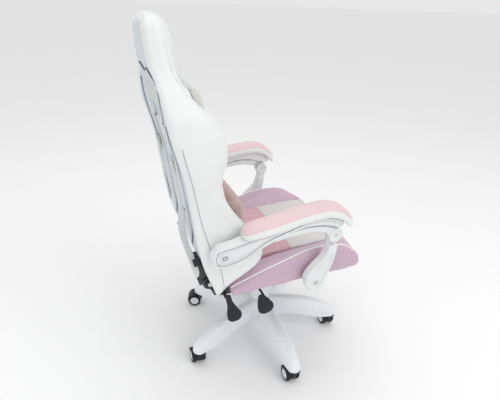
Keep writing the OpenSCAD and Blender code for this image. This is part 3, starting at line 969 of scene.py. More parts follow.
def block(name, low, high):
    """A plain box, used only to cut with."""
    x, y, z = zip(low, high)
    points = [(a, b, c) for a in x for b in y for c in z]
    faces = [(0, 1, 3, 2), (4, 6, 7, 5), (0, 4, 5, 1), (2, 3, 7, 6), (0, 2, 6, 4), (1, 5, 7, 3)]
    return new_piece(name, points, faces, smooth=False)


def back_cover():
    """White cover of the shell, the wings and the head section in one sewn skin."""
    heights = np.linspace(0.4285, DOME_FROM, 150)
    rings = [[(x, y, z) for x, y in back_ring(z)] for z in heights]
    span = BACK_TOP - DOME_FROM
    for angle in np.linspace(0, 88, 12)[1:]:
        rise = math.sin(math.radians(angle))
        scale = (1 - rise ** 2.6) ** (1 / 2.6)
        z = DOME_FROM + span * rise
        rings.append([(x, y, z) for x, y in back_ring(z, max(scale, 0.04))])
    return loft("back_cover", rings)


def cut_openings(piece):
    """Cuts both harness openings through a piece of the back."""
    for side in (-1, 1):
        cut(piece, slot_prism(side))
    return piece


def wing_tip(side, low, high, inset=0.0):
    """The line that the piping follows along the front edge of a wing."""
    line = []
    for z in np.linspace(low, high, 110):
        head = float(smoothstep(1.0, 1.09, z))
        half = float(HALF_WIDTH(z)) - 0.010 * (1 - head) - 0.004 * head - inset
        line.append((side * half, float(WING_FRONT(z)) - 0.001 + 0.004 * head, z))
    return line


SIDE_SEAM = smooth_line([(0.448, 0.242), (0.528, 0.254), (0.62, 0.290), (0.709, 0.314),
                         (0.836, 0.340), (0.926, 0.362), (1.0, 0.374), (1.06, 0.383),
                         (1.15, 0.398), (1.2, 0.400)])


def side_seam(side, low=0.45, high=0.93):
    """The seam between the rear panel and the side panel of the cover."""
    return [(side * (float(HALF_WIDTH(z)) + 0.002), float(SIDE_SEAM(z)), z)
            for z in np.linspace(low, high, 90)]


# seat, drawn level and sloped with the frame
RAKE = math.radians(2.4)
PLATE_Z = 0.400


def sloped(points):
    """Points drawn on a level seat, moved to where the sloped seat has them."""
    points = np.asarray(points, float)
    c, s = math.cos(RAKE), math.sin(RAKE)
    y, z = points[:, 1], points[:, 2] - PLATE_Z
    return np.column_stack([points[:, 0], y * c + z * s, PLATE_Z - y * s + z * c])


CREST = [(0.212, 0.457), (0.160, 0.475), (0.100, 0.495), (0.026, 0.515), (-0.044, 0.535),
         (-0.100, 0.540), (-0.150, 0.537), (-0.195, 0.525), (-0.235, 0.498), (-0.258, 0.470),
         (-0.266, 0.445)]


def crest_line(side, inset=0.020):
    """The upper outer edge of a seat bolster, from the rear to the front corner."""
    x = side * (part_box("seat_bolster_left")[1].x - inset)
    line = eased([(y, z) for y, z in CREST], 90, 6, closed=False)
    return sloped([(x, y, z) for y, z in line])


# side view of an arm: distances to the rear, and heights
ELBOW = (-0.108, 0.621)
REAR_PIVOT = (0.260, 0.609)
POST_PIVOT = (-0.057, 0.450)
KNUCKLE_ROOM = 0.040
ARM_TOP = smooth_line([(0.297, 0.6095), (0.2945, 0.622), (0.287, 0.635), (0.272, 0.644),
                       (0.250, 0.648), (0.236, 0.650), (0.196, 0.662), (0.115, 0.6705),
                       (0.009, 0.692), (-0.060, 0.698), (-0.104, 0.687), (-0.134, 0.664)])
ARM_UNDER = smooth_line([(0.297, 0.6085), (0.2945, 0.596), (0.287, 0.583), (0.272, 0.574),
                         (0.255, 0.572), (0.237, 0.576), (0.193, 0.596), (0.140, 0.626),
                         (0.072, 0.653), (-0.004, 0.671), (-0.062, 0.667), (-0.124, 0.650),
                         (-0.134, 0.655)])


# ---- operators ---------------------------------------------------------------------------------


class CHAIR_OT_materials(bpy.types.Operator):
    """Make every leather, knit, plastic and metal finish of the chair"""

    bl_idname = "chair.materials"
    bl_label = "Materials"

    def execute(self, context):
        make_materials(context.scene.chair_cover, context.scene.chair_moulding)
        return {"FINISHED"}


class CHAIR_OT_back(bpy.types.Operator):
    """Build the white cover of the back with its seams, piping and openings"""

    bl_idname = "chair.back"
    bl_label = "Back Cover"

    def execute(self, context):
        cover = context.scene.chair_cover
        piece = back_cover()
        creased(piece, 0.055, 0.0016, 11)
        creased(piece, 0.016, 0.0005, 12)
        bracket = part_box("back_brackets")
        cut(piece, block("notch", (bracket[0].x - 0.018, 0.232, 0.40), (-0.149, 0.40, 0.548)))
        cut(piece, block("notch", (0.190, 0.19, 0.40), (0.225, 0.40, 0.50)))
        cut_openings(piece)
        crisp(piece, 60)
        # painted shade: faces of the sunken rear panel get the darker, bluer rear leather
        painted(piece, [MATERIALS["white"], MATERIALS["rear"]], self.on_shaded_rear)
        placed(piece, "backrest",
               nodes=("back_shell", "back_wing_right", "back_wing_left", "head_cushion"))
        self.head_seam(piece, cover)
        for side_name, side in SIDES.items():
            edge = snapped(wing_tip(side, 0.445, 1.19), piece, 0.0012)
            cord = tube("back_piping_" + side_name, edge, cover.piping_r, 8)
            placed(cord, "backrest", "piping")
            # painted shadow: a thin dark tube along each side seam
            seam = snapped(side_seam(side), piece, 0.0002)
            groove = tube("back_seam_shadow_" + side_name, seam, 0.0009, 6)
            placed(groove, "backrest", "seam")
            # painted shadow: a dark tube along the rim of the sunken rear panel
            rim = [(side * (float(HALF_WIDTH(z)) - 0.036), rear_face(z) + 0.004, z)
                   for z in np.linspace(0.56, 1.04, 80)]
            placed(tube("back_rim_shadow_" + side_name, snapped(rim, piece, 0.0004), 0.0018, 6),
                   "backrest", "gap")
            beside = snapped(np.array(side_seam(side)) + (0, 0.007, 0), piece, 0.0004)
            placed(stitched("back_stitches_" + side_name, beside, cover.stitch), "backrest",
                   "thread")
            # painted shade: a dark green line along the shoulder, just inside the piping
            shoulder_shade_line = snapped(wing_tip(side, 0.87, 1.035, 0.014), piece, 0.0012)
            placed(tube("shoulder_shadow_" + side_name, shoulder_shade_line, 0.0026, 6), "backrest", "green")
        return {"FINISHED"}

    def on_shaded_rear(self, centre, normal):
        """Whether a face lies on the sunken rear panel, which gets the darker, bluer rear leather
        as painted shade and reflection.
        """
        edge = float(HALF_WIDTH(centre.z)) - 0.027 - 0.022 * float(smoothstep(1.0, 1.10, centre.z))
        if centre.z > DOME_FROM:
            edge *= 1 - ((centre.z - DOME_FROM) / (BACK_TOP - DOME_FROM)) ** 2.6
        return normal.y > 0.2 and abs(centre.x) < edge and centre.z < 1.222

    def head_seam(self, piece, cover):
        """The sewn outline of the head section's front panel."""
        arch = [(-0.096, 1.096), (-0.100, 1.130), (-0.098, 1.165), (-0.084, 1.196),
                (-0.050, 1.213), (0, 1.217), (0.050, 1.213), (0.084, 1.196), (0.098, 1.165),
                (0.100, 1.130), (0.096, 1.096)]
        line = eased(arch, 120, 6, closed=False)
        path = snapped([(x, float(BACK_FRONT(z)) - 0.01, z) for x, z in line], piece, 0.0004)
        placed(tube("head_seam", path, 0.0014, 6), "backrest", "piping")
        inner = snapped([(x * 0.93, float(BACK_FRONT(z)) - 0.01, (z - 1.1) * 0.95 + 1.099)
                         for x, z in line], piece, 0.0003)
        placed(stitched("head_stitches", inner, cover.stitch), "backrest", "thread")


class CHAIR_OT_back_panels(bpy.types.Operator):
    """Build the padded front panel of the back, sewn in three upright parts"""

    bl_idname = "chair.back_panels"
    bl_label = "Front Panels"

    def execute(self, context):
        self.panel(context.scene.chair_cover)
        return {"FINISHED"}

    def panel(self, cover):
        """The one front panel, sewn in three upright parts."""
        across = np.linspace(-PANEL_HALF, PANEL_HALF, 65)
        rings = []
        for x in across:
            narrow = (abs(x) / PANEL_HALF) ** 6
            depth = 0.020 * narrow
            roll = 0.010 * math.cos(math.pi * x / 0.30) ** 2
            top = 1.068 - 0.060 * smoothstep(0.14, PANEL_HALF, abs(x))
            heights = np.linspace(0.480, float(top), 70)
            front = [(x, float(BACK_FRONT(z)) - (0.018 + roll * 0.4 - depth) * proud(z), z)
                     for z in heights]
            rear = [(x, float(BACK_FRONT(z)) + 0.012, z) for z in heights[::-1]]
            rings.append(soften(front + rear, 5))
        piece = loft("back_panel", rings)

        def sewn(x, y, z):
            lines = [abs(abs(x) - PANEL_SEAM), abs(abs(x) - PANEL_HALF) * 2]
            if abs(x) < PANEL_SEAM:
                lines += [abs(z - at) for at in (0.72, 0.80, 0.88)]
            behind = 1 if y > float(BACK_FRONT(z)) else 0
            return max(behind, 1 - min(lines) / 0.006)

        puffed(piece, sewn, pressure=5, cap=0.007)
        for x in (-PANEL_SEAM, PANEL_SEAM):
            sliced(piece, (x, 0, 0), (1, 0, 0))
        painted(piece, [MATERIALS["white"], MATERIALS["pink"]],
                lambda c, n: 1 if abs(c.x) < PANEL_SEAM else 0)
        cut_openings(piece)
        crisp(piece, 60)
        placed(piece, "backrest", nodes=("back_cushion",))
        for name, x in (("right", -PANEL_SEAM), ("left", PANEL_SEAM)):
            line = [(x, float(BACK_FRONT(z)) - 0.03, z) for z in np.linspace(0.50, 0.94, 60)]
            laid = snapped(line, piece, 0.0006)
            placed(tube("panel_piping_" + name, laid, cover.piping_r * 0.8, 8), "backrest",
                   "piping")


class CHAIR_OT_slots(bpy.types.Operator):
    """Build the moulded rings that line the harness openings"""

    bl_idname = "chair.slots"
    bl_label = "Harness Rings"

    def execute(self, context):
        made = []
        for side in (-1, 1):
            rings = []
            stations = [(0.010, -0.004), (0.012, 0.0), (0.008, 0.005), (0.0, 0.006),
                        (-0.008, 0.003), (-0.011, -0.004), (-0.012, -0.030)]
            outline = {}
            for grow, off in stations:
                outline[(grow, off)] = stadium(0.070 + 2 * grow, 0.134 + 2 * grow, 64,
                                                SLOT_TAPER)

            def ring(grow, off, face):
                points = []
                for x, z in outline[(grow, off)]:
                    height = SLOT_Z + z
                    front = float(BACK_FRONT(height)) + 0.009 - 0.025 * proud(height)
                    y = rear_face(height) + 0.001 if face > 0 else front
                    points.append((side * (SLOT_X + x), y + face * off, height))
                return points

            rings += [ring(grow, off, 1) for grow, off in stations]
            rings += [ring(grow, off, -1) for grow, off in reversed(stations)]
            points = np.array(rings).reshape(-1, 3)
            count = len(rings[0])
            faces = ring_faces(len(rings), count)
            last = (len(rings) - 1) * count
            faces += [(last + k, last + (k + 1) % count, (k + 1) % count, k) for k in range(count)]
            made.append(new_piece("ring", points, faces))
            # painted shadow: a dark tube round the outer edge of each harness ring
            edge = [(side * (SLOT_X + x), rear_face(SLOT_Z + z) + 0.0012, SLOT_Z + z)
                    for x, z in stadium(0.0975, 0.1615, 72, SLOT_TAPER)]
            placed(tube("slot_shadow_" + str(len(made)), edge, 0.0016, 6, closed=True), "backrest",
                   "gap")
        piece = joined("slot_rings", made)
        placed(piece, "backrest", "trim", nodes=("slot_trims",))
        return {"FINISHED"}


class CHAIR_OT_straps(bpy.types.Operator):
    """Build the elastic bands on the rear of the back and their slide buckles"""

    bl_idname = "chair.straps"
    bl_label = "Elastic Straps"

    def band(self, name, centre, width, thick, across, tail=False):
        """A flat band along its middle line, as wide as across points; tail rounds its end."""
        centre = np.asarray(centre, float)
        tangent = np.gradient(centre, axis=0)
        across = np.asarray(across, float)
        rings = []
        full = width
        for number, (point, along) in enumerate(zip(centre, tangent)):
            along = along / np.linalg.norm(along)
            left = (len(centre) - 1 - number) / 4
            if tail and left < 1:
                width = full * max(0.25, math.sqrt(1 - (1 - left) ** 2))
            out = np.cross(across, along)
            out /= np.linalg.norm(out)
            corner = [(-1, -1), (-1.03, 0), (-1, 1), (-0.4, 1.15), (0.4, 1.15), (1, 1), (1.03, 0),
                      (1, -1), (0.4, -0.9), (-0.4, -0.9)]
            rings.append([point + across * a * width / 2 + out * b * thick / 2 for a, b in corner])
        return subdivided(loft(name, rings))

    def execute(self, context):
        made = []
        for side in (-1, 1):
            line = []
            for z in np.linspace(STRAP_TOP, STRAP_LOW, 60):
                share = (STRAP_TOP - z) / 0.40
                off = 0.004 + 0.012 * math.sin(math.pi * share) ** 2
                lean = 0.010 * share
                line.append((side * (0.108 + lean), rear_face(z) + off, z))
            made.append(self.band("strap", line, 0.026, BAND_THICK, (1, 0, 0)))
        vertical = joined("rear_straps", made)
        placed(vertical, "backrest", "band")
        drop = eased([(-0.119, 0.337, 0.690), (-0.122, 0.342, 0.650), (-0.138, 0.344, 0.615),
                      (-0.160, 0.340, 0.588), (-0.184, 0.333, 0.560), (-0.204, 0.326, 0.535),
                      (-0.2145, 0.321, 0.510), (-0.217, 0.317, 0.486)], 30, 2, closed=False)
        end = self.band("strap_end", drop, 0.021, 0.0032, (0.26, 0.966, 0), tail=True)
        placed(end, "backrest", "band")
        around = []
        for t in np.linspace(-1, 1, 70):
            y = rear_face(1.035) + 0.006 + 0.003 * math.cos(math.pi * t)
            around.append((t * LOOP_HALF, y, 1.035))
        forward = np.linspace(0.300, 0.392, 18)
        around = [(-LOOP_HALF, y, 1.033) for y in forward] + around
        around += [(LOOP_HALF, y, 1.033) for y in forward[::-1]]
        loop = self.band("pillow_band", soften(around, 4, closed=False), 0.056, BAND_THICK,
                         (0, 0, 1))
        placed(loop, "backrest", "band", nodes=("elastic_straps",))
        self.buckles()
        return {"FINISHED"}

    def buckles(self):
        """The slide buckles of both straps and the black clip of the loose end."""
        made = []
        for side in (-1, 1):
            z = 0.838
            y = rear_face(z) + 0.0175
            tilt = math.atan2(float(REAR(z + 0.03)) - float(REAR(z - 0.03)), 0.06)
            frame_box = block("buckle", (-0.019, -0.0025, -0.024), (0.019, 0.0025, 0.024))
            for low, high in ((-0.018, -0.004), (0.004, 0.018)):
                cut(frame_box, block("window", (-0.0142, -0.02, low), (0.0142, 0.02, high)))
            bevelled(frame_box, 0.0012, 2)
            move = Matrix.Translation((side * 0.111, y, z)) @ Matrix.Rotation(-tilt, 4, "X")
            frame_box.data.transform(move)
            made.append(frame_box)
        piece = joined("slide_buckles", made)
        placed(piece, "backrest", "buckle", nodes=("strap_buckles",))
        low = block("clip", (-0.0055, -0.012, -0.013), (0.0055, 0.012, 0.013))
        bevelled(low, 0.003, 3)
        low.data.transform(Matrix.Translation((-0.213, 0.317, 0.541))
                           @ Matrix.Rotation(-0.26, 4, "X"))
        placed(low, "backrest", "black")


class CHAIR_OT_pillows(bpy.types.Operator):
    """Build the loose head pillow and the lumbar pillow"""

    bl_idname = "chair.pillows"
    bl_label = "Pillows"

    def pillow(self, name, node, sag, squeeze, shift):
        """A filled pillow in place of a plain one; sag leans its side seam."""
        piece = from_node(name, node, 0.005, 26, 0.002)
        low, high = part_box(node)
        middle = (low + high) / 2
        rows = points_of(piece)
        move_points(piece, (rows - middle) * squeeze + middle + shift)
        middle = middle + Vector(shift)

        def sewn(x, y, z):
            side = max(abs(x - middle.x) / (high.x - low.x), abs(z - middle.z) / (high.z - low.z))
            rim = abs(y - middle.y - (z - middle.z) * sag) < 0.004 and side > 0.40
            return 1.0 if rim else 0.0

        puffed(piece, sewn, pressure=5, cap=0.009, bending=0.3)
        creased(piece, 0.060, 0.0008, 31)
        subdivided(piece)
        return piece

    def execute(self, context):
        head = self.pillow("head_pillow_soft", "head_pillow", 0.25, (0.95, 1.0, 0.90),
                           (0, 0.008, -0.008))
        placed(head, "backrest", "head", nodes=("head_pillow",))
        lumbar = self.pillow("lumbar_pillow_soft", "lumbar_pillow", 0.09, (0.97, 1.0, 0.92),
                             (0, 0.006, -0.010))
        placed(lumbar, "backrest", "lumbar",
               nodes=("lumbar_pillow",))
        return {"FINISHED"}


class CHAIR_OT_seat(bpy.types.Operator):
    """Build the padded seat: middle panels, side bolsters, piping and stitches"""

    bl_idname = "chair.seat"
    bl_label = "Seat"

    def execute(self, context):
        cover = context.scene.chair_cover
        self.middle(cover)
        for side_name, side in SIDES.items():
            self.bolster(side_name, side, cover)
        return {"FINISHED"}

    def middle(self, cover):
        """The middle of the seat in three colours, with two cross seams."""
        piece = from_node("seat_middle", "seat_cushion", 0.006, 8, 0.0)
        seams = (-0.035, -0.235)

        def sewn(x, y, z):
            if z < 0.470:
                return 1.0
            near = min(abs(y - at) for at in seams)
            return max(0.0, 1 - near / 0.007, 1 - (0.168 - abs(x)) / 0.008)

        puffed(piece, sewn, pressure=6, cap=0.010)
        creased(piece, 0.028, 0.0009, 21)
        subdivided(piece)
        for at in seams:
            sliced(piece, (0, at, 0), (0, 1, 0))
        painted(piece, [MATERIALS["pink"], MATERIALS["grey"], MATERIALS["blush"]],
                lambda c, n: 0 if c.y > seams[0] else 1 if c.y > seams[1] else 2)
        placed(piece, "seat", nodes=("seat_cushion",))
        for number, at in enumerate(seams):
            line = [(x, at, 0.53) for x in np.linspace(-0.165, 0.165, 60)]
            skin = snapped_down(line, piece, 0.0004)
            for shift in (-0.006, 0.006):
                row = snapped_down([(x, at + shift, 0.53) for x, _, _ in line], piece, 0.0003)
                placed(stitched(f"seat_stitches_{number}_{'rf'[shift < 0]}", row, cover.stitch),
                       "seat", "thread")
            placed(tube(f"seat_seam_{number}", skin, 0.0010, 6), "seat", "grey")

    def bolster(self, side_name, side, cover):
        """One side bolster with the piping along its crest."""
        node = "seat_bolster_" + side_name
        piece = from_node("bolster_" + side_name, node, 0.005, 5, 0.002)
        crest = np.array(crest_line(side))

        def sewn(x, y, z):
            if z < 0.446:
                return 0.8
            gaps = np.linalg.norm(crest - (x, y, z), axis=1)
            return max(0.0, 1 - float(gaps.min()) / 0.012)

        puffed(piece, sewn, pressure=4, cap=0.007)
        creased(piece, 0.032, 0.0010, 41 + side)
        subdivided(piece)
        placed(piece, "seat", "lilac", nodes=(node,))
        laid = snapped(crest, piece, 0.0012)
        placed(tube("bolster_piping_" + side_name, laid, cover.piping_r, 8), "seat", "piping")
        row = snapped(crest - (0, 0, 0.008), piece, 0.0003)
        placed(stitched("bolster_stitches_" + side_name, row, cover.stitch), "seat", "thread")


class CHAIR_OT_arms(bpy.types.Operator):
    """Build the armrests: arms, padded tops, posts and the caps of their pivots"""

    bl_idname = "chair.arms"
    bl_label = "Armrests"

    def arm_shell(self, side):
        """The long arm with its rail, grooves and rounded rear plate."""
        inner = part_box("arm_left")[0].x
        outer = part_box("arm_left")[1].x
        stations = np.concatenate([
            0.260 + 0.0368 * np.sin(np.linspace(math.pi / 2, 0.12, 14)),
            np.linspace(0.258, -0.128, 80),
            [-0.131, -0.1335],
        ])
        rings = []
        for y in stations:
            high, low = float(ARM_TOP(y)), float(ARM_UNDER(y))
            tall = max(high - low, 0.002)
            face = outer - 0.005 * float(smoothstep(0.19, 0.25, y))
            end = 1 - 0.35 * float(smoothstep(0.285, 0.297, y)) - 0.3 * float(
                smoothstep(-0.120, -0.134, y))
            face = inner + (face - inner) * end
            r = min(0.005, tall * 0.22)
            rear = float(smoothstep(0.10, 0.20, y))
            groove = 0.0030 * float(smoothstep(-0.125, -0.10, y)) * (
                1 - float(smoothstep(0.278, 0.290, y)))
            inset = 0.0030 * rear * (1 - float(smoothstep(0.272, 0.288, y)))
            g1 = low + tall * (0.80 + 0.02 * rear)
            g2 = low + tall * (0.52 - 0.34 * rear)
            w = min(0.0022, tall * 0.06)
            section = [(inner, low + r * 0.4), (inner, high - r * 0.4), (inner + r * 0.4, high),
                       (face - r, high), (face - r * 0.3, high - r * 0.3), (face, high - r),
                       (face, g1 + w), (face - groove, g1 + w * 0.4),
                       (face - groove - inset * 0.2, g1 - w * 0.4), (face - inset, g1 - w),
                       (face - inset, (g1 + g2) / 2),
                       (face - inset, g2 + w), (face - groove - inset * 0.2, g2 + w * 0.4),
                       (face - groove, g2 - w * 0.4), (face, g2 - w),
                       (face, low + r), (face - r * 0.3, low + r * 0.3), (face - r, low),
                       (inner + r * 0.4, low)]
            rings.append([(side * x, y, z) for x, z in section])
        piece = loft("arm_shell", rings)
        crisp(piece, 38)
        return piece

    def branch(self, side):
        """The lower branch of the arm that carries the elbow."""
        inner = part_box("arm_left")[0].x
        outline = [(0.100, 0.650), (0.060, 0.655), (-0.004, 0.664), (-0.062, 0.660),
                   (-0.104, 0.646), (-0.125, 0.640), (-0.133, 0.622), (-0.124, 0.602),
                   (-0.108, 0.597), (-0.092, 0.602), (-0.084, 0.616), (-0.080, 0.630),
                   (-0.063, 0.640), (-0.015, 0.648), (0.063, 0.641), (0.105, 0.632)]
        outer_half = slab("branch", eased(outline, 90, 2), side * (inner + 0.0187),
                          side * (inner + 0.030), 0.0022)
        rear_part = [p for p in eased(outline, 140, 2)
                     if math.hypot(p[0] - ELBOW[0], p[1] - ELBOW[1]) > KNUCKLE_ROOM]
        inner_half = slab("branch", rear_part, side * (inner + 0.004), side * (inner + 0.0186),
                          0.0015)
        return [outer_half, inner_half]

    def cap(self, name, place, side, face, radius, deep=0.003):
        """A round pivot cover with a recess for a screw, facing outwards."""
        profile = [(0.0005, -0.006), (radius, -0.006), (radius, 0.0008), (radius - 0.0012, 0.002),
                   (radius - 0.004, 0.0024), (radius - 0.006, 0.0012), (0.0100, 0.0012),
                   (0.0088, 0.0), (0.0085, -deep), (0.0005, -deep)]
        return lathe(name, profile, (side * face, *place), (side, 0, 0), 64)

    def screw(self, place, side, face, radius=0.0072):
        """A button-head screw with a hexagon socket."""
        head = lathe("screw", [(0.0026, -0.004), (radius, -0.004), (radius, -0.0012),
                               (radius * 0.82, 0.0008), (radius * 0.5, 0.0016),
                               (0.0030, 0.0017), (0.0027, 0.0010), (0.0026, -0.001)],
                     (side * face, place[0], place[1]), (side, 0, 0), 24)
        socket = lathe("screw", [(0.0003, -0.004), (0.0028, -0.004), (0.0028, -0.0012),
                                 (0.0003, -0.0012)],
                       (side * face, place[0], place[1]), (side, 0, 0), 6)
        return [head, socket]

    def track(self, side, arm):
        """The path of the painted shadow line in the groove that runs round the rear pivot and on
        along the arm.
        """
        def at(y, share):
            low, high = float(ARM_UNDER(y)), float(ARM_TOP(y))
            return low + (high - low) * share

        lines = []
        for share, change in ((0.80, 0.02), (0.52, -0.34)):
            lines.append([(y, at(y, share + change * float(smoothstep(0.10, 0.20, y))))
                          for y in np.linspace(0.02, 0.262, 60)])
        upper, lower = lines
        middle, r = (upper[-1][1] + lower[-1][1]) / 2, (upper[-1][1] - lower[-1][1]) / 2
        arc = [(0.262 + r * math.cos(a), middle + r * math.sin(a))
               for a in np.linspace(math.pi / 2, -math.pi / 2, 18)]
        x = side * (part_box("arm_left")[0].x + 0.045)
        return snapped([(x, y, z) for y, z in upper + arc + lower[::-1]], arm, 0.0001)

    def pad(self, side, side_name):
        """The padded top with its side band and seam."""
        low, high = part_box("arm_pad_left")
        middle, half = (low.x + high.x) / 2, (high.x - low.x) / 2 - 0.002
        top = smooth_line([(0.207, 0.676), (0.202, 0.688), (0.190, 0.698), (0.160, 0.707),
                           (0.097, 0.719), (-0.011, 0.738), (-0.055, 0.741), (-0.095, 0.733),
                           (-0.131, 0.712), (-0.150, 0.692), (-0.1645, 0.664)])
        bottom = smooth_line([(0.207, 0.668), (0.203, 0.6635), (0.196, 0.6632), (0.115, 0.6714),
                              (0.009, 0.6928), (-0.060, 0.6988), (-0.104, 0.6878),
                              (-0.134, 0.6652), (-0.152, 0.650), (-0.1645, 0.656)])
        stations = np.concatenate([0.185 + 0.022 * np.sin(np.linspace(math.pi / 2, 0, 10)),
                                   np.linspace(0.180, -0.140, 74),
                                   -0.142 - 0.0225 * np.sin(np.linspace(0.1, math.pi / 2, 10))])
        rings = []
        for y in stations:
            high_z, low_z = float(top(y)), float(bottom(y))
            tall = high_z - low_z
            rear = min(1, max(0.02, (0.207 - y) / 0.030))
            fore = min(1, max(0.02, (y + 0.1645) / 0.034))
            wide = half * math.sqrt(1 - (1 - rear) ** 2.4) * math.sqrt(1 - (1 - fore) ** 2.6)
            wide = max(wide, 0.004)
            band = low_z + tall * 0.56
            ring = []
            for u in np.linspace(-1, 1, 15):
                crown = (1 - abs(u) ** 3.2)
                ring.append((u * (wide - 0.0015), band + (high_z - band) * crown))
            ring += [(wide - 0.0034, band - 0.0010), (wide + 0.0002, band - 0.004),
                     (wide + 0.0012, low_z + tall * 0.28), (wide - 0.001, low_z + tall * 0.08),
                     (wide - 0.005, low_z), (wide * 0.4, low_z - 0.0002)]
            ring += [(-x, z) for x, z in ring[:14:-1]]
            rings.append([(side * (middle + x), y, z) for x, z in ring])
        piece = loft("arm_pad_" + side_name, rings)
        piece.data.materials.append(MATERIALS["blush"])
        piece.data.materials.append(MATERIALS["white"])
        edge = np.array([r[14] for r in rings])
        other = np.array([r[0] for r in rings])
        puff_line = np.vstack([edge, other])

        def sewn(x, y, z):
            if z < float(bottom(y)) + 0.003:
                return 1.0
            near = np.abs(puff_line - (x, y, z)).sum(1).min()
            return max(0.0, 1 - float(near) / 0.004)

        puffed(piece, sewn, pressure=4, cap=0.003, steps=12)
        subdivided(piece)
        for face in piece.data.polygons:
            y = min(max(face.center.y, -0.1640), 0.2065)
            limit = float(bottom(y)) + (float(top(y)) - float(bottom(y))) * 0.565
            face.material_index = 0 if face.center.z > limit else 1
        return piece, edge, other

    def post(self, side, side_name):
        """The curved front post."""
        low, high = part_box("post_left")
        outline = [(-0.090, 0.584), (-0.086, 0.561), (-0.073, 0.538), (-0.048, 0.515),
                   (-0.028, 0.494), (-0.018, 0.470), (-0.020, 0.446), (-0.034, 0.421),
                   (-0.061, 0.404), (-0.084, 0.428), (-0.098, 0.471), (-0.113, 0.517),
                   (-0.121, 0.560), (-0.1215, 0.584)]
        thick = slab("post", eased(outline, 110, 3), side * low.x, side * high.x, 0.006, 4)
        hollow = [(-0.096, 0.555), (-0.084, 0.538), (-0.060, 0.516), (-0.041, 0.492),
                  (-0.033, 0.470), (-0.036, 0.446), (-0.060, 0.424), (-0.076, 0.444),
                  (-0.088, 0.478), (-0.102, 0.520), (-0.109, 0.552)]
        cut(thick, slab("dish", eased(hollow, 80, 3), side * (high.x - 0.0022),
                        side * (high.x + 0.01), 0.0004, 1))
        bevelled(thick, 0.0008, 2, 50)
        neck = [(-0.089, 0.592), (-0.086, 0.606), (-0.087, 0.625), (-0.098, 0.640),
                (-0.118, 0.640), (-0.129, 0.626), (-0.127, 0.604), (-0.122, 0.590),
                (-0.121, 0.560), (-0.087, 0.562)]
        lug = slab("post", eased(neck, 60, 2), side * (low.x + 0.003), side * (low.x + 0.0180),
                   0.002)
        knuckle = self.cap("knuckle", ELBOW, -side, -(low.x + 0.0030), 0.0225)
        return joined("post_" + side_name + "_moulding", [thick, lug, knuckle])

    def execute(self, context):
        arm_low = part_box("arm_left")[0]
        post_low, post_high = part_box("post_left")
        for side_name, side in SIDES.items():
            body = "arm_" + side_name
            shell = self.arm_shell(side)
            parts = [shell] + self.branch(side)
            parts.append(self.cap("disc", ELBOW, side, arm_low.x + 0.0305, 0.0245))
            arm = joined("arm_" + side_name + "_moulding", parts)
            placed(arm, body, "arm", nodes=("arm_" + side_name,))
            # painted shadow: a dark tube laid in the arm's groove
            placed(tube("arm_groove_shadow_" + side_name, self.track(side, arm), 0.0010, 6), body, "seam")
            ring = self.cap("arm_plate_" + side_name, REAR_PIVOT, side, arm_low.x + 0.0320,
                            0.0150, 0.004)
            placed(ring, body, "arm")
            screws = self.screw(ELBOW, side, arm_low.x + 0.0290)
            placed(joined("elbow_screw_" + side_name, screws), body, "zinc")
            pad, edge, other = self.pad(side, side_name)
            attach(pad, body)
            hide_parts("arm_pad_" + side_name)
            ring_path = np.vstack([edge[3:-3], other[-4:2:-1]])
            laid = np.array(snapped(list(ring_path) + [ring_path[0]], pad, 0.0003))[:-1]
            cord = tube("pad_seam_" + side_name, soften(laid, 3), 0.0014, 6, closed=True)
            placed(cord, body, "piping")
            post = self.post(side, side_name)
            placed(post, "post_" + side_name, "arm",
                   nodes=("post_" + side_name,))
            inner = self.screw(ELBOW, -side, -(post_low.x + 0.0040))
            placed(joined("knuckle_screw_" + side_name, inner), "post_" + side_name, "zinc")
            bolt = self.screw(POST_PIVOT, side, post_high.x - 0.0010, 0.0085)
            placed(joined("post_screw_" + side_name, bolt), "seat", "zinc")
            pivot = self.screw(REAR_PIVOT, side, arm_low.x + 0.0315, 0.0085)
            placed(joined("arm_screw_" + side_name, pivot), "backrest", "zinc")
        return {"FINISHED"}


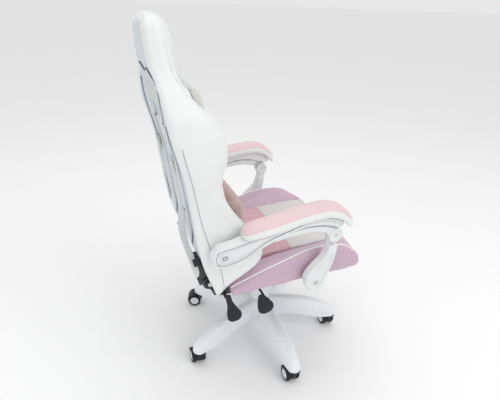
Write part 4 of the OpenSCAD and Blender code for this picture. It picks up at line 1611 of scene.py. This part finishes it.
class CHAIR_OT_base(bpy.types.Operator):
    """Build the star base and the sleeves of the column cover"""

    bl_idname = "chair.base"
    bl_label = "Base and Column"

    def execute(self, context):
        angles = [math.atan2(JOINTS[f"caster_{n}_swivel"]["pos_m"][1],
                             JOINTS[f"caster_{n}_swivel"]["pos_m"][0]) for n in CASTERS]
        radius = math.hypot(*JOINTS["caster_1_swivel"]["pos_m"][:2])
        legs = [self.leg(angle, radius) for angle in angles]
        hub = lathe("hub", [(0.0252, 0.084), (0.046, 0.084), (0.050, 0.087), (0.054, 0.096),
                            (0.056, 0.110), (0.056, 0.158), (0.054, 0.167), (0.049, 0.1735),
                            (0.043, 0.1765), (0.034, 0.1772), (0.0252, 0.1772)], steps=72)
        piece = joined("star_base_moulding", legs + [hub])
        placed(piece, "base", "base", nodes=("star_base",))
        for node, body in (("cover_lower", "base"), ("cover_middle", "middle_sleeve"),
                           ("cover_upper", "column")):
            self.sleeve(node, body)
        return {"FINISHED"}

    def leg(self, angle, radius):
        """One arm of the star: a hollow moulding with a raised, ridged back."""
        top = smooth_line([(0.030, 0.1745), (0.061, 0.173), (0.140, 0.165),
                           (radius - 0.092, 0.150), (radius - 0.042, 0.131), (radius, 0.110),
                           (radius + 0.014, 0.098), (radius + 0.0225, 0.080)])
        under = smooth_line([(0.030, 0.093), (0.134, 0.0915), (0.200, 0.079),
                             (radius - 0.046, 0.0635), (radius, 0.0622), (radius + 0.0225, 0.068)])
        width = smooth_line([(0.030, 0.052), (0.110, 0.057), (0.190, 0.0605), (0.260, 0.054),
                             (radius, 0.045)])
        stations = np.concatenate([np.linspace(0.030, radius, 56),
                                   radius + 0.0225 * np.sin(np.linspace(0.08, 1.52, 12))])
        rings = []
        for r in stations:
            half = float(width(r)) / 2
            if r > radius:
                half *= math.sqrt(max(1 - ((r - radius) / 0.0226) ** 2, 0.004))
            high, low = float(top(r)), float(under(r))
            tall = high - low
            hollow = 0.45 * tall * float(smoothstep(0.075, 0.11, r)) * (
                1 - float(smoothstep(radius - 0.045, radius - 0.022, r)))
            wall = 0.0045
            drop = min(0.017, tall * 0.35)
            section = [(-half, low + 0.002), (-half * 1.01, low + tall * 0.45),
                       (-half * 0.97, high - drop),
                       (-half * 0.72, high - drop * 0.62), (-half * 0.56, high - drop * 0.20),
                       (-half * 0.42, high - 0.0006), (0, high),
                       (half * 0.42, high - 0.0006), (half * 0.56, high - drop * 0.20),
                       (half * 0.72, high - drop * 0.62), (half * 0.97, high - drop),
                       (half * 1.01, low + tall * 0.45), (half, low + 0.002),
                       (half - 0.001, low), (half - wall, low),
                       (half - wall - 0.001, low + hollow),
                       (0, low + hollow), (-half + wall + 0.001, low + hollow),
                       (-half + wall, low), (-half + 0.001, low)]
            rings.append([(r, x, z) for x, z in eased(section, 72, 2)])
        piece = loft("leg", rings)
        piece.data.transform(Matrix.Rotation(angle, 4, "Z"))
        crisp(piece, 55)
        return piece

    def sleeve(self, node, body):
        """One telescopic sleeve with a rolled upper lip."""
        low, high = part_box(node)
        outer = high.x
        inner = outer - 0.002
        lip = 0.0035
        profile = [(inner, low.z), (outer - 0.0004, low.z), (outer, low.z + 0.0006),
                   (outer, high.z - lip), (outer - 0.0002, high.z - 0.0012),
                   (outer - 0.0008, high.z), (inner, high.z)]
        piece = lathe(node + "_sleeve", profile, steps=96)
        placed(piece, body, "sleeve", nodes=(node,))


class CHAIR_OT_casters(bpy.types.Operator):
    """Build the twin wheels of each caster with their pierced discs, and the hoods"""

    bl_idname = "chair.casters"
    bl_label = "Casters"

    def execute(self, context):
        pattern = self.disc(JOINTS["caster_1_roll"]["pos_m"][2],
                            context.scene.chair_moulding.disc_holes)
        for number in CASTERS:
            roll = JOINTS[f"caster_{number}_roll"]
            swivel = JOINTS[f"caster_{number}_swivel"]
            axle = Vector(roll["pos_m"])
            along = Vector(roll["axis"]).normalized()
            self.wheels(number, axle, along, pattern)
            self.hood(number, axle, along, Vector(swivel["pos_m"]))
        bpy.data.objects.remove(pattern)
        return {"FINISHED"}

    def disc(self, radius, holes):
        """One pierced wheel disc about the origin, facing +Z."""
        r = radius
        disc = lathe("disc", [(0.0043, 0.001), (r - 0.0092, 0.001), (r - 0.0092, 0.0140),
                              (r - 0.0100, 0.0152), (r - 0.0115, 0.0150), (r - 0.0125, 0.0140),
                              (0.0085, 0.0140), (0.0076, 0.0152), (0.0060, 0.0156),
                              (0.0043, 0.0156)], steps=60)
        drills = []
        for k in range(holes):
            turn = 2 * math.pi * (k + 0.5) / holes
            spot = (r * 0.475 * math.cos(turn), r * 0.475 * math.sin(turn), 0)
            drills.append(lathe("drill", [(0.0001, -0.004), (0.0030, -0.004), (0.0030, 0.03),
                                          (0.0001, 0.03)], spot, steps=20))
        cut(disc, joined("drills", drills))
        crisp(disc, 35)
        return disc

    def wheels(self, number, axle, along, pattern):
        """Both wheels of one caster with their discs."""
        tyres, discs = [], []
        for side in (-1, 1):
            out = along * side
            start = axle + out * 0.0104
            r = axle.z
            tread = [(r - 0.0090, 0.0), (r - 0.0025, 0.0), (r - 0.0006, 0.0012), (r, 0.0035),
                     (r, 0.0115), (r - 0.0010, 0.0140), (r - 0.0032, 0.0158),
                     (r - 0.0062, 0.0166), (r - 0.0085, 0.0160), (r - 0.0090, 0.0140)]
            tyres.append(lathe("tyre", tread, start, out, 56))
            disc = bpy.data.objects.new("disc", pattern.data.copy())
            turn = Vector((0, 0, 1)).rotation_difference(out).to_matrix().to_4x4()
            disc.data.transform(Matrix.Translation(start) @ turn)
            discs.append(disc)
            # painted shadow: a thin dark sheet behind each pierced disc so its holes show dark
            dark = lathe("shadow", [(0.0043, 0.0004), (r - 0.0094, 0.0004), (r - 0.0094, 0.0010),
                                    (0.0043, 0.0010)], start, out, 32)
            tyres.append(dark)
        piece = joined(f"caster_{number}_tyres", tyres)
        body = f"caster_{number}_roller"
        placed(piece, body, "tyre", nodes=(f"caster_{number}_wheels",))
        placed(joined(f"caster_{number}_discs", discs), body, "disc")

    def hood(self, number, axle, along, stem):
        """The curved guard over the two wheels with its web and stem socket."""
        trail = Vector((axle.x - stem.x, axle.y - stem.y, 0)).normalized()
        r = axle.z
        outer, inner = r + 0.0036, r + 0.0010
        half = 0.0272
        rings = []
        for u in np.linspace(-1, 1, 25):
            end = 1 - 0.0016 / outer * (abs(u) ** 8)
            low_angle, high_angle = math.radians(12), math.radians(150)
            arc = np.linspace(low_angle, high_angle, 40)
            ring = [(outer * end * math.cos(a), outer * end * math.sin(a)) for a in arc]
            ring += [(inner * math.cos(a), inner * math.sin(a)) for a in arc[::-1]]
            rings.append([tuple(axle + trail * x + Vector((0, 0, z)) + along * (u * half))
                          for x, z in ring])
        guard = loft("guard", rings)
        crisp(guard, 45)
        web = lathe("web", [(0.0045, -0.0096), (r - 0.006, -0.0096), (r - 0.004, -0.0086),
                            (r - 0.004, 0.0086), (r - 0.006, 0.0096), (0.0045, 0.0096)],
                    axle, along, 48)
        socket = lathe("socket", [(0.0056, 0.026), (0.0100, 0.026), (0.0105, 0.028),
                                  (0.0105, 0.0575), (0.0095, 0.0600), (0.0056, 0.0600)],
                       (stem.x, stem.y, 0), (0, 0, 1), 40)
        piece = joined(f"caster_{number}_guard", [guard, web, socket])
        placed(piece, f"caster_{number}", "black",
               nodes=(f"caster_{number}_hood",))


class CHAIR_OT_levers(bpy.types.Operator):
    """Build the two hand levers with their finger marks"""

    bl_idname = "chair.levers"
    bl_label = "Levers"

    def paddle(self, name, outline, x, thick, swell, lean):
        """A flat handle across X whose broad end is thicker and leans outwards."""
        outline = eased(outline, 96, 4)
        centre = outline.mean(0)
        rings = []
        low, high = outline[:, 1].min(), outline[:, 1].max()
        for share, t in ((0.80, -1.0), (0.93, -0.8), (0.99, -0.4), (1.0, 0.0), (0.99, 0.4),
                         (0.93, 0.8), (0.80, 1.0), (0.45, 1.06), (0.1, 1.08)):
            ring = []
            for y, z in outline:
                drop = (high - z) / (high - low)
                deep = thick / 2 + swell * drop
                ring.append((x - lean * drop - t * deep,
                             centre[0] + (y - centre[0]) * share,
                             centre[1] + (z - centre[1]) * share))
            rings.append(ring)
        return loft(name, rings)

    def dimple(self, piece, at, size):
        """A shallow finger mark pressed into the outer face."""
        for vertex in piece.data.vertices:
            gap = Vector((0, vertex.co.y - at[0], vertex.co.z - at[1])).length
            if gap < size and vertex.normal.x < -0.5:
                vertex.co.x += 0.0016 * (1 + math.cos(math.pi * gap / size)) / 2

    def execute(self, context):
        height = [(0.100, 0.391), (0.117, 0.392), (0.119, 0.375), (0.119, 0.345), (0.114, 0.320),
                  (0.104, 0.309), (0.088, 0.306), (0.066, 0.313), (0.057, 0.328), (0.060, 0.345),
                  (0.078, 0.368)]
        recline = [(0.240, 0.430), (0.222, 0.430), (0.214, 0.400), (0.196, 0.370), (0.180, 0.348),
                   (0.180, 0.328), (0.190, 0.317), (0.214, 0.314), (0.229, 0.325), (0.232, 0.352),
                   (0.231, 0.385)]
        for name, body, outline, marks in (
            ("height_lever", "height_lever", height, ((0.105, 0.335), (0.082, 0.326))),
            ("recline_lever", "recline_lever", recline, ((0.219, 0.340), (0.197, 0.332))),
        ):
            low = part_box(name)[0]
            handle = self.paddle(name, outline, low.x + 0.0062, 0.007, 0.0016, 0.001)
            subdivided(handle)
            for mark in marks:
                self.dimple(handle, mark, 0.007)
            extra = self.height_rod() if name == "height_lever" else self.recline_rod()
            piece = joined(name + "_handle", [handle] + extra)
            placed(piece, body, "black", nodes=(name,))
        return {"FINISHED"}

    def height_rod(self):
        """The rod, boss and finger that tie the height lever to its pin."""
        pin = Vector(JOINTS["height_lever_pull"]["pos_m"])
        path = [(pin.x - 0.003, pin.y + 0.018, pin.z - 0.002), (pin.x - 0.05, pin.y + 0.018,
                                                                  pin.z - 0.002),
                (-0.247, pin.y + 0.018, pin.z - 0.002)]
        rod = tube("rod", resample(path, 24, closed=False), 0.004, 16)
        boss = lathe("boss", [(0.00305, -0.0105), (0.0066, -0.0105), (0.007, -0.010),
                              (0.007, 0.010), (0.0066, 0.0105), (0.00305, 0.0105)], pin, (0, 1, 0))
        arm = slab("arm", [(pin.y - 0.009, pin.z - 0.006), (pin.y + 0.022, pin.z - 0.006),
                           (pin.y + 0.022, pin.z + 0.002), (pin.y - 0.009, pin.z + 0.002)],
                   pin.x - 0.012, pin.x - 0.0045, 0.0012)
        return [rod, boss, arm]

    def recline_rod(self):
        """The eye, neck and bar that tie the recline lever to its pivot."""
        low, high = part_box("recline_lever")
        y, z = JOINTS["recline"]["pos_m"][1:]
        eye = lathe("eye", [(0.00805, 0.0), (0.0145, 0.0), (0.015, 0.0005), (0.015, 0.0065),
                            (0.0145, 0.007), (0.00805, 0.007)], (high.x, y, z), (-1, 0, 0))
        neck = slab("neck", eased([(0.268, 0.441), (0.284, 0.438), (0.262, 0.424), (0.244, 0.415),
                                   (0.230, 0.418), (0.228, 0.428), (0.246, 0.440),
                                   (0.262, 0.455)], 60, 2),
                    high.x - 0.0068, high.x - 0.0002, 0.0015)
        bar = tube("bar", [(high.x - 0.002, 0.236, 0.423), (high.x - 0.02, 0.236, 0.423),
                           (low.x + 0.006, 0.236, 0.423)], 0.006, 16)
        return [eye, neck, bar]


class CHAIR_OT_hardware(bpy.types.Operator):
    """Give the frame's own metal and plastic parts their finishes"""

    bl_idname = "chair.hardware"
    bl_label = "Hardware"

    finishes = {
        "steel": ("lift_tube", "mechanism_housing", "mechanism_plate", "seat_frame", "back_frame",
                  "recliner_plates", "back_brackets", "lift_cylinder", "recliner_cover"),
        "zinc": ("lift_rod", "thrust_bearing", "mechanism_pins", "seat_bolts", "recliner_pins",
                 "post_bolts", "arm_bolts", "tilt_spring", *(f"caster_{n}_pins" for n in CASTERS)),
        "black": ("tension_knob",),
        "nylon": ("guide_bush",),
        "dust": ("seat_pan",),
    }

    def execute(self, context):
        for material, nodes in self.finishes.items():
            for node in nodes:
                part = frame["nodes"][node]
                part.data.materials.clear()
                part.data.materials.append(MATERIALS[material])
        return {"FINISHED"}


class CHAIR_OT_studio(bpy.types.Operator):
    """Set up the camera, the plain floor and the soft light"""

    bl_idname = "chair.studio"
    bl_label = "Studio"

    place = Vector((-1.2758, 0.5818, 1.2792))
    yaw, pitch, roll = (math.radians(a) for a in (-22.238, 25.477, 2.353))

    def camera(self, lens):
        """A level camera turned by yaw, tipped down by pitch and rolled a little."""
        ahead = Vector((math.cos(self.pitch) * math.cos(self.yaw),
                        math.cos(self.pitch) * math.sin(self.yaw), -math.sin(self.pitch)))
        right = Vector((math.sin(self.yaw), -math.cos(self.yaw), 0))
        up = right.cross(ahead)
        c, s = math.cos(self.roll), math.sin(self.roll)
        right, up = right * c + up * s, up * c - right * s
        data = bpy.data.cameras.new("camera")
        data.lens = lens
        data.sensor_width = 36
        data.clip_end = 400
        camera = bpy.data.objects.new("camera", data)
        camera.matrix_world = Matrix((right, up, -ahead)).transposed().to_4x4()
        camera.location = self.place
        bpy.context.scene.collection.objects.link(camera)
        bpy.context.scene.camera = camera

    def lamp(self, name, place, target, size, power):
        """A large square soft light."""
        data = bpy.data.lights.new(name, "AREA")
        data.shape = "SQUARE"
        data.size = size
        data.energy = power
        lamp = bpy.data.objects.new(name, data)
        lamp.location = place
        lamp.rotation_euler = (Vector(target) - Vector(place)).to_track_quat("-Z", "Y").to_euler()
        bpy.context.scene.collection.objects.link(lamp)

    def execute(self, context):
        studio = context.scene.chair_studio
        self.camera(studio.lens)
        self.lamp("key", (-2.6, -1.4, 3.2), (0, 0.1, 0.6), 2.2, 34)
        self.lamp("fill", (-1.6, 3.2, 1.8), (0, 0.1, 0.6), 2.6, 12)
        self.lamp("top", (0.6, 0.2, 3.6), (0, 0.1, 0.5), 2.4, 16)
        world = bpy.data.worlds.new("sky")
        world.use_nodes = True
        world.node_tree.nodes["Background"].inputs["Color"].default_value = (1, 1, 1, 1)
        world.node_tree.nodes["Background"].inputs["Strength"].default_value = studio.light
        context.scene.world = world
        half, level = 160, -0.0005
        corners = [(-half, -half, level), (half, -half, level), (half, half, level),
                   (-half, half, level)]
        floor = new_piece("floor", corners, [(0, 1, 2, 3)])
        paper = tuple(studio.floor)
        finish = Finish("floor_paper", paper, 0.9)
        finish.tint(finish.noise(1.5, 2), shade(paper, 0.985), 0.4, 0.7, 0.5)
        finish.relief(finish.noise(300, 2), 0.0001)
        floor.data.materials.append(finish.material)
        context.scene.view_settings.view_transform = "Standard"
        return {"FINISHED"}


class CHAIR_PT_panel(bpy.types.Panel):
    """Sizes, colours and build steps of the chair"""

    bl_idname = "CHAIR_PT_panel"
    bl_label = "Gaming Chair"
    bl_space_type = "VIEW_3D"
    bl_region_type = "UI"
    bl_category = "Chair"

    def draw(self, context):
        for settings in (context.scene.chair_cover, context.scene.chair_moulding,
                         context.scene.chair_studio):
            box = self.layout.box()
            for name in settings.__annotations__:
                box.prop(settings, name)
        for step in STEPS:
            self.layout.operator(step.bl_idname)


SETTINGS = (CoverSettings, MouldingSettings, StudioSettings)
STEPS = (
    CHAIR_OT_materials,
    CHAIR_OT_back,
    CHAIR_OT_back_panels,
    CHAIR_OT_slots,
    CHAIR_OT_straps,
    CHAIR_OT_pillows,
    CHAIR_OT_seat,
    CHAIR_OT_arms,
    CHAIR_OT_base,
    CHAIR_OT_casters,
    CHAIR_OT_levers,
    CHAIR_OT_hardware,
    CHAIR_OT_studio,
)
CLASSES = SETTINGS + STEPS + (CHAIR_PT_panel,)


def register():
    for cls in CLASSES:
        bpy.utils.register_class(cls)
    bpy.types.Scene.chair_cover = PointerProperty(type=CoverSettings)
    bpy.types.Scene.chair_moulding = PointerProperty(type=MouldingSettings)
    bpy.types.Scene.chair_studio = PointerProperty(type=StudioSettings)


def unregister():
    del bpy.types.Scene.chair_studio
    del bpy.types.Scene.chair_moulding
    del bpy.types.Scene.chair_cover
    for cls in reversed(CLASSES):
        bpy.utils.unregister_class(cls)


def main():
    register()
    for step in STEPS:
        group, name = step.bl_idname.split(".")
        getattr(getattr(bpy.ops, group), name)()


if __name__ == "__main__":
    main()
